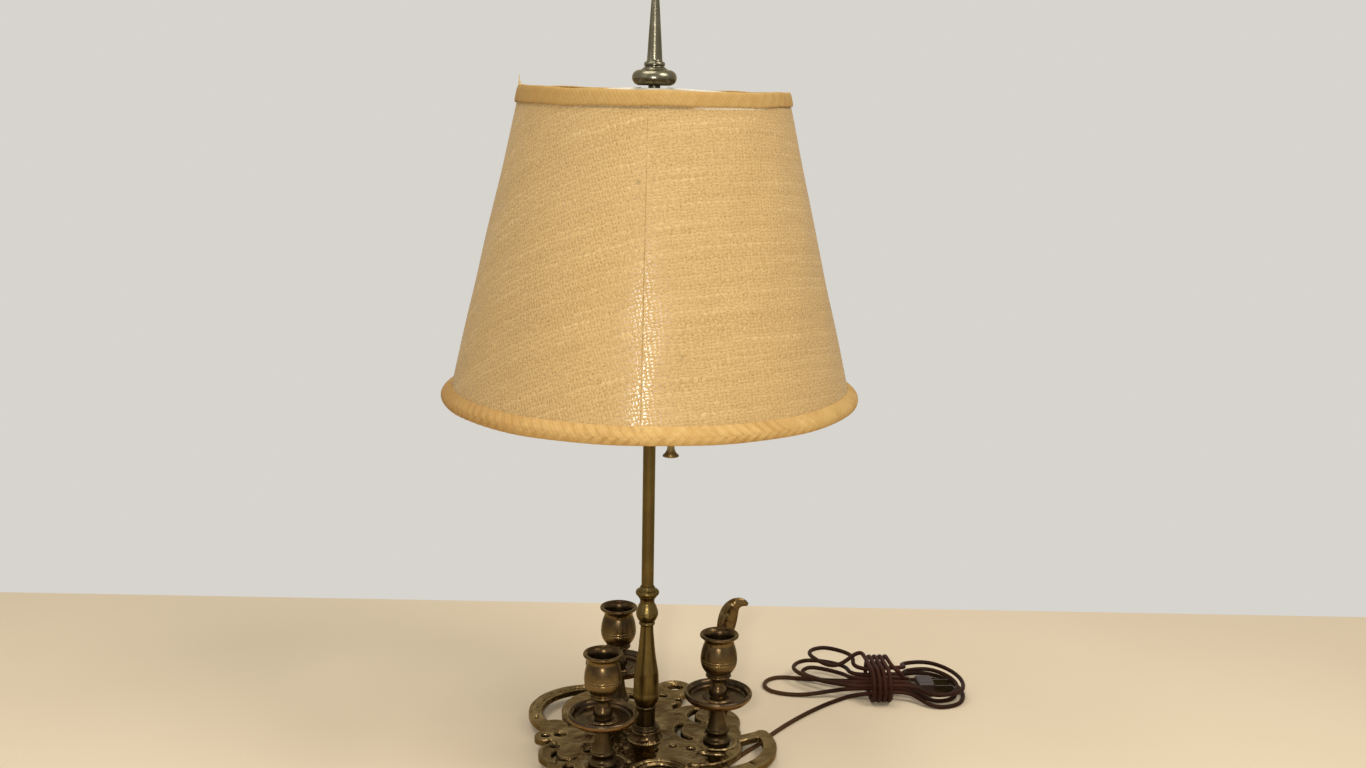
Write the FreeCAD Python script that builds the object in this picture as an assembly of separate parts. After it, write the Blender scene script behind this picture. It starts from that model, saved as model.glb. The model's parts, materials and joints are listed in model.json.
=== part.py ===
# Bouillotte table lamp: a pierced cast base with three candle cups round a turned
# column, a pull-chain lampholder under a harp, a burlap shade and a spire finial.
# Millimetres. The origin is on the table at the column's axis, +Z is up, and
# -Y faces the viewer.
import FreeCAD
import Part
import math
import os

V = FreeCAD.Vector
UP = V(0, 0, 1)

# Pierced base plate
foot_height = 7.0
plate_thickness = 5.0
plate_edge = 1.2
lobe_radius = 45.0
hoop_outer_radius = 49.5
hoop_width = 10.6
stem_pad_radius = 15.0
stem_pad_height = 0.8
pierced_rim = 9.0
ridge_radius = 1.4
foot_radius = 5.0
foot_radius_at_table = 4.0

# Hub under the column
hub_radius = 13.5
hub_top_radius = 10.8
hub_height = 8.0
hub_web = 4.0
hub_cavity_radius = 10.0
nipple_radius = 4.8
nipple_bore = 3.4
nipple_tail = 1.0
washer_radius = 9.0
washer_thickness = 1.2
locknut_across_flats = 14.3
locknut_height = 3.2
bushing_flange = 1.0
bushing_flange_radius = 4.4
bushing_depth = 6.0

# Column
pedestal_foot_radius = 10.0
pedestal_foot_height = 4.0
pedestal_radius = 7.1
pedestal_height = 13.0
pedestal_ring_radius = 8.0
pedestal_ring_height = 2.5
baluster_foot_radius = 9.65
baluster_neck_radius = 4.8
baluster_body_height = 65.0
baluster_knob_height = 14.6
baluster_ring_radius = 8.9
baluster_bead_radius = 8.4
baluster_waist_radius = 5.4
baluster_nipple_socket = 12.0
pole_radius = 4.6
pole_bore = 3.3
pole_in_baluster = 14.0
pole_length = 180.0

# Candle arms, the same three times
cup_circle_radius = 55.0
cup_azimuths = {"right": -5.0, "rear_left": 115.5, "front_left": -123.5}
stem_height = 33.4
stem_plinth_radius = 10.0
stem_bead_radius = 9.3
stem_waist_radius = 5.0
stem_top_radius = 7.0
pan_radius = 26.0
pan_rim_width = 3.4
pan_height = 7.5
pan_floor = 2.4
knob_radius = 6.9
knob_neck_radius = 4.5
pan_ring_radius = 10.2
knob_height = 15.5
cup_height = 35.6
cup_foot_radius = 9.0
cup_bulb_radius = 13.9
cup_neck_radius = 11.2
cup_rim_radius = 14.7
candle_bore_radius = 9.6
candle_bore_depth = 20.0
cup_mouth_depth = 6.0
cup_mouth_radius = 12.3
stud_radius = 2.0
screw_head_radius = 4.0
screw_head_height = 2.2

# Scroll handle behind the right cup
handle_root = V(57.0, 54.0, 0)
handle_foot_radius = 8.0
handle_flatness = 0.62

# Lampholder and harp
saddle_nut_height = 4.0
saddle_thickness = 1.5
saddle_half_width = 25.0
saddle_strap = 10.0
saddle_rise = 6.0
lug_radius = 2.0
lug_height = 6.0
harp_wire_radius = 1.7
harp_leg = 24.0
harp_half_width = 56.0
harp_height = 187.4
harp_azimuth = 90.0
harp_stud_radius = 3.17
harp_stud_height = 11.0
harp_disc_radius = 8.0
harp_disc_thickness = 4.0
ferrule_radius = 3.4
ferrule_length = 9.0
ferrule_travel = 8.0
socket_cap_radius = 18.0
socket_cap_height = 18.0
socket_shell_height = 40.0
socket_wall = 0.6
liner_wall = 1.0
screw_shell_radius = 13.5
screw_shell_height = 24.0
screw_shell_wall = 0.4
socket_body_height = 20.0
terminal_screw_radius = 2.2

# Pull chain
chain_offset = V(16.0, -15.8, 0)
chain_bead_radius = 1.5
chain_link_radius = 0.7
chain_pitch = 4.4
chain_beads = 17
chain_guide_radius = 3.4
chain_guide_length = 19.0
chain_guide_drop = 2.0
bell_radius = 5.9
bell_stem_radius = 2.6
bell_height = 13.0
chain_bell_bottom = 239.4

# Bulb
bulb_radius = 30.0
bulb_height = 100.0
bulb_wall = 0.9
bulb_neck_radius = 13.4
bulb_base_height = 23.0
bulb_tip_radius = 4.5

# Shade
shade_height = 219.0
shade_bottom_radius = 146.0
shade_top_radius = 93.8
cloth_thickness = 1.0
lining_thickness = 0.5
ring_wire_radius = 1.6
spider_wire_radius = 1.5
spider_hub_radius = 14.0
spider_hub_thickness = 1.6
spider_arms = 3
shade_above_harp = -2.1
bottom_trim_height = 14.0
bottom_trim_bulge = 6.5
bottom_trim_drop = 1.5
top_trim_height = 9.0
top_trim_thickness = 1.8

# Finial
finial_neck_radius = 4.2
finial_neck_height = 1.8
bun_radius = 15.6
bun_height = 13.0
collar_radius = 6.7
collar_height = 3.2
spire_base_radius = 5.4
spire_tip_radius = 1.2
spire_height = 65.8

# Clearances
running_clearance = 0.06

# Cord
cord_radius = 1.75

# The cord's route under the plate and over the table, up to its hank
free_cord_points = [
    (3.2, -2.6), (10.0, -9.4), (24.0, -19.5), (41.0, -27.5), (56.0, -27.0), (66.5, -17.5), (76.0, -2.5),
    (89.0, 14.0), (99.0, 31.0), (117.0, 56.0), (137.0, 79.0), (151.0, 92.5), (161.0, 100.5),
]
first_drop = 4.2

# The hank: four loops each way through a waist that the cord's own end wraps
hank_centre = V(194.0, 114.0, 0)
hank_heading = 4.0
waist_half = 13.0
hank_outer_slot = 12.0
hank_levels = [8.0, 13.8, 19.6]
# side, end slot, end layer, lead, swing, shoulder, reach, half width, height
hank_lobes = [
    (1, 12.0, 0, 0.0, 12.0, 32.0, 60.0, 36.0, 1.75),
    (-1, -4.0, 0, 0.0, 16.0, 66.0, 84.0, 17.5, 1.75),
    (1, 3.0, 1, 0.0, 10.0, 36.0, 54.0, 23.0, 1.75),
    (-1, -4.0, 1, 12.0, 38.0, 35.0, 57.0, 11.5, 9.0),
    (1, 12.0, 1, 0.0, 12.0, 34.0, 55.0, 28.0, 8.5),
    (-1, -12.0, 1, 14.0, 38.0, 36.0, 65.0, 20.0, 12.5),
    (1, 12.0, 2, 0.0, 12.0, 34.0, 59.0, 35.0, 12.0),
    (-1, 0.0, 2, 34.0, 54.0, 35.0, 59.0, 16.0, 22.5),
]
wrap_turns = 4
wrap_pitch = 4.6
wrap_start = -10.0
wrap_top = 29.0
wrap_half_width = 25.5
tail_bend = 15.0
tail_across = -2.0
tail_height = 23.0

# Plug
plug_front = 29.5
plug_across = 3.0
plug_length = 14.5
plug_width = 19.0
plug_thickness = 13.0
plug_edge = 2.5
plug_neck_radius = 3.2
plug_neck_length = 3.5
blade_length = 15.0
blade_width = 6.3
blade_thickness = 1.5
blade_spacing = 12.7
blade_root = 4.0

# Levels
plate_bottom = foot_height
plate_top = plate_bottom + plate_thickness
hub_top = plate_top + hub_height
cavity_top = hub_top - hub_web
locknut_bottom = cavity_top - washer_thickness - locknut_height
nipple_bottom = locknut_bottom - nipple_tail
cord_exit_z = nipple_bottom - bushing_flange
pedestal_bottom = hub_top + pedestal_foot_height
baluster_bottom = pedestal_bottom + pedestal_height + pedestal_ring_height
knob_bottom = baluster_bottom + baluster_body_height
baluster_top = knob_bottom + 2 * baluster_knob_height + 1.0
nipple_top = baluster_bottom + baluster_nipple_socket
pole_bottom = baluster_top - pole_in_baluster
pole_top = pole_bottom + pole_length
pan_bottom = plate_top + stem_pad_height + stem_height
pan_top = pan_bottom + pan_height
cup_bottom = pan_bottom + pan_floor + knob_height
cup_top = cup_bottom + cup_height
saddle_bottom = pole_top - 6.0
saddle_top = saddle_bottom + saddle_thickness
lug_bottom = saddle_top + saddle_rise
harp_bottom = lug_bottom + lug_height
harp_top = harp_bottom + harp_height
socket_bottom = saddle_top
shell_bottom = socket_bottom + socket_cap_height - 4.0
shell_top = shell_bottom + socket_shell_height
socket_body_bottom = socket_bottom + 5.0
screw_shell_bottom = socket_body_bottom + socket_body_height
disc_bottom = harp_top
hub_seat = disc_bottom + harp_disc_thickness
shade_top = hub_seat + spider_hub_thickness + shade_above_harp
shade_bottom = shade_top - shade_height
finial_bottom = hub_seat + spider_hub_thickness
bun_bottom = finial_bottom + finial_neck_height
bulb_bottom = screw_shell_bottom + 1.0

free_route = [V(0, 0, cord_exit_z), V(0, 0, cord_exit_z - first_drop)]
free_route += [V(x, y, cord_radius) for x, y in free_cord_points]

parts = {}


def add(name, shape):
    parts[name] = shape


def cylinder(radius, low, high, x=0.0, y=0.0):
    return Part.makeCylinder(radius, high - low, V(x, y, low), UP)


def tube_ring(inner, outer, low, high, x=0.0, y=0.0):
    return cylinder(outer, low, high, x, y).cut(cylinder(inner, low - 1, high + 1, x, y))


def joined(shapes):
    result = shapes[0]
    for shape in shapes[1:]:
        result = result.fuse(shape)
    return result.removeSplitter()


def outline_edges(start, steps):
    """Edges from start through steps: a point is a straight run, a pair is an arc."""
    edges = []
    here = start
    for step in steps:
        if isinstance(step[0], tuple):
            through, end = step
            edges.append(
                Part.Arc(
                    V(here[0], 0, here[1]), V(through[0], 0, through[1]), V(end[0], 0, end[1]),
                ).toShape()
            )
        else:
            end = step
            edges.append(Part.makeLine(V(here[0], 0, here[1]), V(end[0], 0, end[1])))
        here = end
    return edges


def turned(start, steps, x=0.0, y=0.0):
    """A solid of revolution about the vertical through (x, y), from (radius, height)."""
    edges = outline_edges(start, steps + [start])
    face = Part.Face(Part.Wire(edges))
    solid = face.revolve(V(0, 0, 0), UP, 360)
    solid.translate(V(x, y, 0))
    return solid


def arc_from_tangent(start, tangent, end):
    """The circular arc that leaves start along tangent and passes through end."""
    chord = end - start
    along = V(chord).normalize()
    side = tangent - along * tangent.dot(along)
    if side.Length < 1e-7:
        return Part.makeLine(start, end)
    half_angle = math.atan2(side.Length, tangent.dot(along))
    bulge = V(side).normalize() * (chord.Length / 2 * math.tan(half_angle / 2))
    return Part.Arc(start, start + chord * 0.5 + bulge, end).toShape()


def biarc(start, start_way, end, end_way):
    """Two tangent arcs from start to end that keep both directions."""
    a = V(start_way).normalize()
    b = V(end_way).normalize()
    gap = end - start
    both = a + b
    share = 2 * (1 - a.dot(b))
    if abs(share) < 1e-9:
        reach = gap.dot(gap) / (2 * gap.dot(both)) if abs(gap.dot(both)) > 1e-9 else gap.Length / 2
    else:
        root = math.sqrt(gap.dot(both) ** 2 + share * gap.dot(gap))
        reach = (root - gap.dot(both)) / share
    middle = (start + a * reach + end - b * reach) * 0.5
    first = arc_from_tangent(start, a, middle)
    back = arc_from_tangent(end, b * -1, middle)
    second = Part.Wire([back])
    second.reverse()
    return [first] + second.Edges


def swept(edges, radius, start, way):
    """A round wire along tangent edges."""
    path = Part.Wire(Part.__sortEdges__(edges))
    shell = Part.BRepOffsetAPI.MakePipeShell(path)
    section = Part.Wire([Part.makeCircle(radius, start, way)])
    shell.add(section)
    shell.build()
    shell.makeSolid()
    return shell.shape()


def polar(radius, azimuth, z=0.0, centre=(0.0, 0.0)):
    turn = math.radians(azimuth)
    return V(centre[0] + radius * math.cos(turn), centre[1] + radius * math.sin(turn), z)


cup_places = {name: polar(cup_circle_radius, azimuth) for name, azimuth in cup_azimuths.items()}


# Base plate

def rounded_disc(x, y, radius):
    """A flat boss of the plate's thickness whose top edge is rounded."""
    bevel = plate_edge * (1 - math.sqrt(0.5))
    return turned(
        (0, plate_bottom),
        [
            (radius, plate_bottom),
            (radius, plate_top - plate_edge),
            ((radius - bevel, plate_top - bevel), (radius - plate_edge, plate_top)),
            (0, plate_top),
        ],
        x,
        y,
    )


def hoop(centre, start, end):
    """A flat band round centre, from azimuth start to end, with rounded edges and ends."""
    inner = hoop_outer_radius - hoop_width
    outer = hoop_outer_radius
    bevel = plate_edge * (1 - math.sqrt(0.5))
    shoulder = plate_top - plate_edge
    edges = outline_edges(
        (inner, plate_bottom),
        [
            (outer, plate_bottom),
            (outer, shoulder),
            ((outer - bevel, plate_top - bevel), (outer - plate_edge, plate_top)),
            (inner + plate_edge, plate_top),
            ((inner + bevel, plate_top - bevel), (inner, shoulder)),
            (inner, plate_bottom),
        ],
    )
    band = Part.Face(Part.Wire(edges)).revolve(V(0, 0, 0), UP, end - start)
    band.rotate(V(0, 0, 0), UP, start)
    band.translate(V(centre[0], centre[1], 0))
    pieces = [band]
    for azimuth in (start, end):
        spot = polar((inner + outer) / 2, azimuth, 0, centre)
        pieces.append(rounded_disc(spot.x, spot.y, hoop_width / 2))
    return pieces


def round_outline(centre, radius):
    def wire(growth, level):
        return Part.Wire([Part.makeCircle(radius + growth, V(centre[0], centre[1], level), UP)])
    return wire


def bar_outline(centre, inner, outer, start, end):
    """A curved slot round centre with half-round ends."""
    def wire(growth, level):
        near = inner - growth
        far = outer + growth
        half = (far - near) / 2
        points = [polar(near, start, level, centre), polar(near, end, level, centre)]
        points += [polar(far, end, level, centre), polar(far, start, level, centre)]
        caps = []
        for azimuth, side in ((end, 1), (start, -1)):
            middle = polar((near + far) / 2, azimuth, level, centre)
            caps.append(middle + polar(half * side, azimuth + 90))
        turn = (start + end) / 2
        return Part.Wire([
            Part.Arc(points[0], polar(near, turn, level, centre), points[1]).toShape(),
            Part.Arc(points[1], caps[0], points[2]).toShape(),
            Part.Arc(points[2], polar(far, turn, level, centre), points[3]).toShape(),
            Part.Arc(points[3], caps[1], points[0]).toShape(),
        ])
    return wire


def moon_outline(centre, radius, offset, facing):
    """A crescent whose back faces the azimuth given."""
    def wire(growth, level):
        back = radius + growth
        front_radius = radius - growth
        reach = (offset * offset + back * back - front_radius * front_radius) / (2 * offset)
        half = math.sqrt(back * back - reach * reach)
        inner_centre = polar(offset, facing + 180, 0, centre)
        inner = (inner_centre.x, inner_centre.y)
        tips = [
            polar(reach, facing + 180, level, centre) + polar(half, facing + 90),
            polar(reach, facing + 180, level, centre) + polar(half, facing - 90),
        ]
        return Part.Wire([
            Part.Arc(tips[0], polar(back, facing, level, centre), tips[1]).toShape(),
            Part.Arc(tips[1], polar(front_radius, facing, level, inner), tips[0]).toShape(),
        ])
    return wire


def opening_tool(wire):
    """A cutter that goes through the plate and flares by the plate's edge at the top."""
    shoulder = plate_top - plate_edge
    low = plate_bottom - 1
    shank = Part.Face(wire(0.0, low)).extrude(V(0, 0, shoulder - low))
    flare = Part.makeLoft([wire(0.0, shoulder), wire(plate_edge, plate_top)], True, True)
    mouth = Part.Face(wire(plate_edge, plate_top)).extrude(V(0, 0, 1))
    return shank.multiFuse([flare, mouth])


rear = cup_places["rear_left"]
front = cup_places["front_left"]
right = cup_places["right"]
left_hoop_centre = (-45.5, 50.0)
right_hoop_centre = (51.0, -8.0)
front_lobe_centre = (12.0, -60.0)
rear_scroll_centre = (21.0, 95.0)
rear_scroll_radius = 15.3
spur_length = 28.0
spur_width = 9.0
plate_discs = [
    (0.0, 0.0, 32.0),
    (rear.x, rear.y, lobe_radius),
    (-72.0, 19.0, 11.0),
    (-70.0, 8.0, 6.0),
    (-77.0, 1.0, 8.5),
    (-60.5, -27.0, 19.3),
    (-54.0, -60.0, 18.0),
    (-45.0, -4.0, 27.0),
    (front.x, front.y, lobe_radius - 4.0),
    (front_lobe_centre[0], front_lobe_centre[1], 29.0),
    (10.0, -32.0, 7.0),
    (40.0, -10.0, 33.5),
    (44.0, 12.0, 30.0),
    (44.0, 33.0, 30.0),
    (rear_scroll_centre[0], rear_scroll_centre[1], rear_scroll_radius),
    (16.0, 74.0, 12.0),
]
feet_places = [(-56.0, 66.0), (23.0, 84.0), (62.0, 36.0), (80.0, -45.0), (-62.0, -12.0), (-12.0, -78.0)]


def plate_openings():
    rear_centre = (rear.x, rear.y)
    front_centre = (front.x, front.y)
    web = stem_pad_radius + 4.0
    rim = lobe_radius - pierced_rim
    return [
        bar_outline(rear_centre, web + 3, rim - 3, 48, 74),
        bar_outline(rear_centre, web + 4, rim - 4, 112, 150),
        bar_outline(rear_centre, web + 4, rim - 4, 186, 214),
        bar_outline((43.0, 16.0), 16.0, 20.5, 150, 240),
        moon_outline((47.0, 42.0), 14.5, 5.5, 185),
        round_outline((25.5, 72.0), 3.4),
        round_outline((12.5, 79.0), 3.2),
        round_outline((rear_scroll_centre[0] + 1.0, rear_scroll_centre[1] + 2.0), 6.0),
        round_outline((-77.0, 1.0), 3.2),
        round_outline((-66.0, 4.0), 4.4),
        round_outline((-68.0, -17.0), 3.0),
        moon_outline((-59.0, -31.0), 10.5, 5.0, 230),
        bar_outline(front_centre, web + 3, rim - 7, 96, 118),
        bar_outline(front_centre, web + 3, rim - 7, 190, 232),
        bar_outline(front_centre, web + 3, rim - 7, 262, 292),
        moon_outline((12.0, -57.0), 15.0, 6.0, 90),
        round_outline((12.0, -67.0), 5.0),
        round_outline((35.0, -17.0), 3.2),
        round_outline((21.0, -13.0), 2.8),
        bar_outline((right.x, right.y), web + 1, web + 7, 246, 276),
        round_outline((-56.0, -62.0), 3.4),
    ]


def scroll_ridges():
    """Half-round mouldings cast on the plate's top."""
    tracks = [
        ((front.x, front.y), 19.5, 15, 95),
        (front_lobe_centre, 22.5, 30, 150),
        ((-60.5, -27.0), 16.0, 120, 250),
        (rear_scroll_centre, 11.0, -30, 190),
        ((-45.5, 50.0), 44.2, 100, 200),
    ]
    ridges = []
    for centre, radius, start, end in tracks:
        middle = (start + end) / 2
        points = [polar(radius, azimuth, plate_top, centre) for azimuth in (start, middle, end)]
        path = Part.Arc(points[0], points[1], points[2]).toShape()
        ridges.append(swept([path], ridge_radius, points[0], polar(1.0, start + 90)))
        for point in (points[0], points[2]):
            ridges.append(Part.makeSphere(ridge_radius * 1.4, point))
    return ridges


def base_plate():
    shapes = [rounded_disc(x, y, radius) for x, y, radius in plate_discs]
    shapes += hoop(left_hoop_centre, 62, 222)
    shapes += hoop(right_hoop_centre, -112, 28)
    spur = Part.makeBox(spur_length, spur_width, plate_thickness, V(0, -spur_width / 2, plate_bottom))
    rims = [edge for edge in spur.Edges if edge.BoundBox.ZMin > plate_top - 0.01]
    spur = spur.makeFillet(plate_edge, rims)
    spur.rotate(V(0, 0, 0), UP, 30)
    spur.translate(V(69.0, 0.5, 0))
    plate = joined(shapes + [spur])
    for outline in plate_openings():
        plate = plate.cut(opening_tool(outline))
    hub = turned(
        (0, plate_bottom),
        [
            (hub_radius, plate_bottom),
            (hub_radius, plate_top + 0.6),
            ((hub_top_radius + 0.9, plate_top + 0.4 * hub_height), (hub_top_radius, hub_top - 1.0)),
            (hub_top_radius - 0.6, hub_top),
            (0, hub_top),
        ],
    )
    extras = [hub]
    for spot in cup_places.values():
        pad_top = plate_top + stem_pad_height
        extras.append(cylinder(stem_pad_radius, plate_bottom, pad_top, spot.x, spot.y))
    pad_radius = handle_foot_radius + 2.0
    extras.append(cylinder(pad_radius, plate_bottom, plate_top, handle_root.x, handle_root.y))
    plate = joined([plate] + extras + scroll_ridges())
    plate = plate.cut(cylinder(hub_cavity_radius, plate_bottom - 1, cavity_top))
    plate = plate.cut(cylinder(nipple_radius, cavity_top - 1, hub_top + 1))
    for spot in list(cup_places.values()) + [handle_root]:
        plate = plate.cut(cylinder(stud_radius, plate_bottom - 1, plate_top + 5, spot.x, spot.y))
    return plate.removeSplitter()


def base_feet():
    feet = []
    for x, y in feet_places:
        feet.append(
            turned(
                (0, 0),
                [
                    (foot_radius_at_table, 0), (foot_radius, 1.5),
                    (foot_radius, foot_height), (0, foot_height),
                ],
                x,
                y,
            )
        )
    return Part.makeCompound(feet)


def plate_screws():
    screws = []
    places = list(cup_places.values()) + [handle_root]
    for spot in places:
        head = cylinder(screw_head_radius, plate_bottom - screw_head_height, plate_bottom, spot.x, spot.y)
        reach = plate_top + stem_pad_height + 8.0
        shank = cylinder(stud_radius, plate_bottom - 0.5, reach, spot.x, spot.y)
        slot = Part.makeBox(
            2 * screw_head_radius + 2, 1.0, 1.0,
            V(spot.x - screw_head_radius - 1, spot.y - 0.5, plate_bottom - screw_head_height - 0.2),
        )
        screws.append(joined([head, shank]).cut(slot))
    return Part.makeCompound(screws)


# Column

def hexagon(across_flats, low, high):
    corner = across_flats / 2 / math.cos(math.pi / 6)
    points = [polar(corner, 60 * step, low) for step in range(7)]
    return Part.Face(Part.makePolygon(points)).extrude(V(0, 0, high - low))


def hub_parts():
    add("hub_washer", tube_ring(nipple_radius, washer_radius, cavity_top - washer_thickness, cavity_top))
    nut = hexagon(locknut_across_flats, locknut_bottom, locknut_bottom + locknut_height)
    add("hub_locknut", nut.cut(cylinder(nipple_radius, locknut_bottom - 1, cavity_top)))
    add("base_nipple", tube_ring(nipple_bore, nipple_radius, nipple_bottom, nipple_top))
    bore = cord_radius + running_clearance
    bushing = turned(
        (bore, cord_exit_z),
        [
            (bushing_flange_radius, cord_exit_z),
            (bushing_flange_radius, nipple_bottom),
            (nipple_bore, nipple_bottom),
            (nipple_bore, nipple_bottom + bushing_depth),
            (bore, nipple_bottom + bushing_depth),
        ],
    )
    add("cord_bushing", bushing)


def column_parts():
    foot = turned(
        (nipple_radius, hub_top),
        [
            (pedestal_foot_radius, hub_top),
            ((pedestal_foot_radius + 0.9, hub_top + 1.2), (pedestal_foot_radius, hub_top + 2.4)),
            (pedestal_foot_radius - 1.4, hub_top + 2.4),
            (pedestal_foot_radius - 1.4, pedestal_bottom),
            (nipple_radius, pedestal_bottom),
        ],
    )
    add("pedestal_foot", foot)
    ring_low = pedestal_bottom + pedestal_height
    ring_mid = ring_low + pedestal_ring_height / 2
    pedestal = turned(
        (nipple_radius, pedestal_bottom),
        [
            (pedestal_radius, pedestal_bottom),
            (pedestal_radius, ring_low - 1.0),
            (pedestal_ring_radius - 0.8, ring_low),
            ((pedestal_ring_radius, ring_mid), (pedestal_ring_radius - 0.8, baluster_bottom)),
            (nipple_radius, baluster_bottom),
        ],
    )
    add("pedestal", pedestal)
    body = baluster_body_height
    foot_r = baluster_foot_radius
    neck_r = baluster_neck_radius
    low = baluster_bottom
    top = baluster_top
    waist = baluster_waist_radius
    ring = baluster_ring_radius
    bead = baluster_bead_radius
    baluster = turned(
        (nipple_radius, low),
        [
            (foot_r - 2.9, low),
            ((foot_r - 0.7, low + 0.05 * body), (foot_r, low + 0.17 * body)),
            ((foot_r - 0.1, low + 0.30 * body), (foot_r - 0.6, low + 0.42 * body)),
            ((neck_r + 2.1, low + 0.62 * body), (neck_r + 0.8, low + 0.82 * body)),
            ((neck_r + 0.25, low + 0.91 * body), (neck_r, knob_bottom - 0.6)),
            (neck_r + 0.9, knob_bottom - 0.2),
            ((neck_r + 1.3, knob_bottom + 0.8), (neck_r + 0.9, knob_bottom + 1.8)),
            (neck_r + 0.6, knob_bottom + 2.2),
            ((bead - 1.0, knob_bottom + 5.0), (bead, knob_bottom + 8.6)),
            (bead - 0.5, knob_bottom + 8.9),
            (bead - 0.5, knob_bottom + 9.3),
            (bead, knob_bottom + 9.6),
            ((bead - 0.9, knob_bottom + 12.6), (waist + 0.9, knob_bottom + 15.6)),
            ((waist, knob_bottom + 18.4), (waist + 0.6, knob_bottom + 20.6)),
            (ring - 1.7, knob_bottom + 22.4),
            (ring - 1.7, knob_bottom + 23.0),
            ((ring, knob_bottom + 25.2), (ring - 1.6, knob_bottom + 27.4)),
            (ring - 2.4, knob_bottom + 27.8),
            ((ring - 3.0, top - 1.4), (pole_radius + 0.6, top)),
            (pole_radius, top),
            (pole_radius, pole_bottom),
            (pole_bore, pole_bottom),
            (pole_bore, nipple_top),
            (nipple_radius, nipple_top),
        ],
    )
    add("baluster", baluster)
    add("pole", tube_ring(pole_bore, pole_radius, pole_bottom, pole_top))


# Candle arms

def stem(x, y):
    """A plinth, a bead and a flaring cone that narrows up to the pan."""
    low = plate_top + stem_pad_height
    plinth = stem_plinth_radius
    bead = stem_bead_radius
    waist = stem_waist_radius
    return turned(
        (stud_radius, low),
        [
            (plinth, low),
            ((plinth + 0.5, low + 1.4), (plinth - 0.2, low + 2.8)),
            ((bead - 1.4, low + 5.4), (bead - 0.5, low + 8.2)),
            ((bead, low + 9.5), (bead - 0.6, low + 10.8)),
            (bead - 1.5, low + 11.2),
            ((waist + 1.2, low + 0.52 * stem_height), (waist, low + 0.80 * stem_height)),
            ((waist + 0.4, low + 0.92 * stem_height), (stem_top_radius, pan_bottom)),
            (stud_radius, pan_bottom),
        ],
        x,
        y,
    )


def pan(x, y):
    """A dish with an upright side, a broad rolled rim and a raised ring round its knob."""
    top = pan_top
    floor_top = pan_bottom + pan_floor
    edge = pan_radius
    lip = pan_radius - pan_rim_width
    ring = pan_ring_radius
    return turned(
        (stud_radius, pan_bottom),
        [
            (edge - 7.0, pan_bottom),
            ((edge - 3.2, pan_bottom + 0.9), (edge - 1.1, pan_bottom + 3.0)),
            ((edge - 0.2, pan_bottom + 4.5), (edge, pan_bottom + 5.8)),
            ((edge - 0.5, top - 0.5), (edge - 1.5, top)),
            (lip + 0.5, top - 0.5),
            ((lip - 0.6, top - 1.6), (lip - 1.3, floor_top + 1.4)),
            ((lip - 2.0, floor_top + 0.4), (lip - 3.4, floor_top)),
            (ring + 1.2, floor_top),
            ((ring, floor_top + 1.3), (ring - 1.2, floor_top)),
            (stud_radius, floor_top),
        ],
        x,
        y,
    )


def knob(x, y):
    """A pear shape, widest near the pan, under the cup's foot."""
    low = pan_bottom + pan_floor
    neck = knob_neck_radius
    return turned(
        (stud_radius, low),
        [
            (knob_radius - 1.3, low),
            ((knob_radius, low + 0.24 * knob_height), (knob_radius - 0.9, low + 0.50 * knob_height)),
            ((neck + 0.1, low + 0.72 * knob_height), (neck, low + 0.86 * knob_height)),
            (neck + 1.5, cup_bottom),
            (stud_radius, cup_bottom),
        ],
        x,
        y,
    )


def cup(x, y):
    """A vase-shaped socket: foot, bulb with a double groove, waist and turned-out lip."""
    low = cup_bottom
    high = cup_top
    height = cup_height
    bore_top = high - cup_mouth_depth
    bore_low = bore_top - candle_bore_depth
    groove = low + 0.41 * height
    bulb = cup_bulb_radius
    neck = cup_neck_radius
    rim = cup_rim_radius
    return turned(
        (0, low + 6.0),
        [
            (stud_radius, low + 6.0),
            (stud_radius, low),
            (cup_foot_radius - 2.0, low),
            (cup_foot_radius, low + 1.4),
            ((cup_foot_radius + 0.7, low + 2.5), (cup_foot_radius, low + 3.6)),
            (cup_foot_radius - 0.7, low + 4.2),
            ((bulb - 2.1, low + 0.22 * height), (bulb - 0.1, groove - 0.4)),
            (bulb - 0.6, groove),
            (bulb, groove + 0.5),
            (bulb, groove + 1.7),
            (bulb - 0.6, groove + 2.1),
            (bulb - 0.1, groove + 2.5),
            ((bulb - 0.9, low + 0.64 * height), (neck + 0.6, low + 0.75 * height)),
            ((neck, low + 0.81 * height), (neck + 0.4, low + 0.87 * height)),
            ((rim - 1.6, high - 3.0), (rim - 0.3, high - 2.0)),
            ((rim, high - 1.0), (rim - 0.7, high)),
            (cup_mouth_radius, high - 0.4),
            ((candle_bore_radius + 0.8, high - 0.45 * cup_mouth_depth), (candle_bore_radius, bore_top)),
            (candle_bore_radius, bore_low),
            (0, bore_low),
        ],
        x,
        y,
    )


def candle_arms():
    studs = []
    for name, spot in cup_places.items():
        add("candle_stem_" + name, stem(spot.x, spot.y))
        add("drip_pan_" + name, pan(spot.x, spot.y))
        add("pan_knob_" + name, knob(spot.x, spot.y))
        add("candle_cup_" + name, cup(spot.x, spot.y))
        studs.append(cylinder(stud_radius, pan_bottom - 8.0, cup_bottom + 6.0, spot.x, spot.y))
    add("cup_studs", Part.makeCompound(studs))


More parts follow.
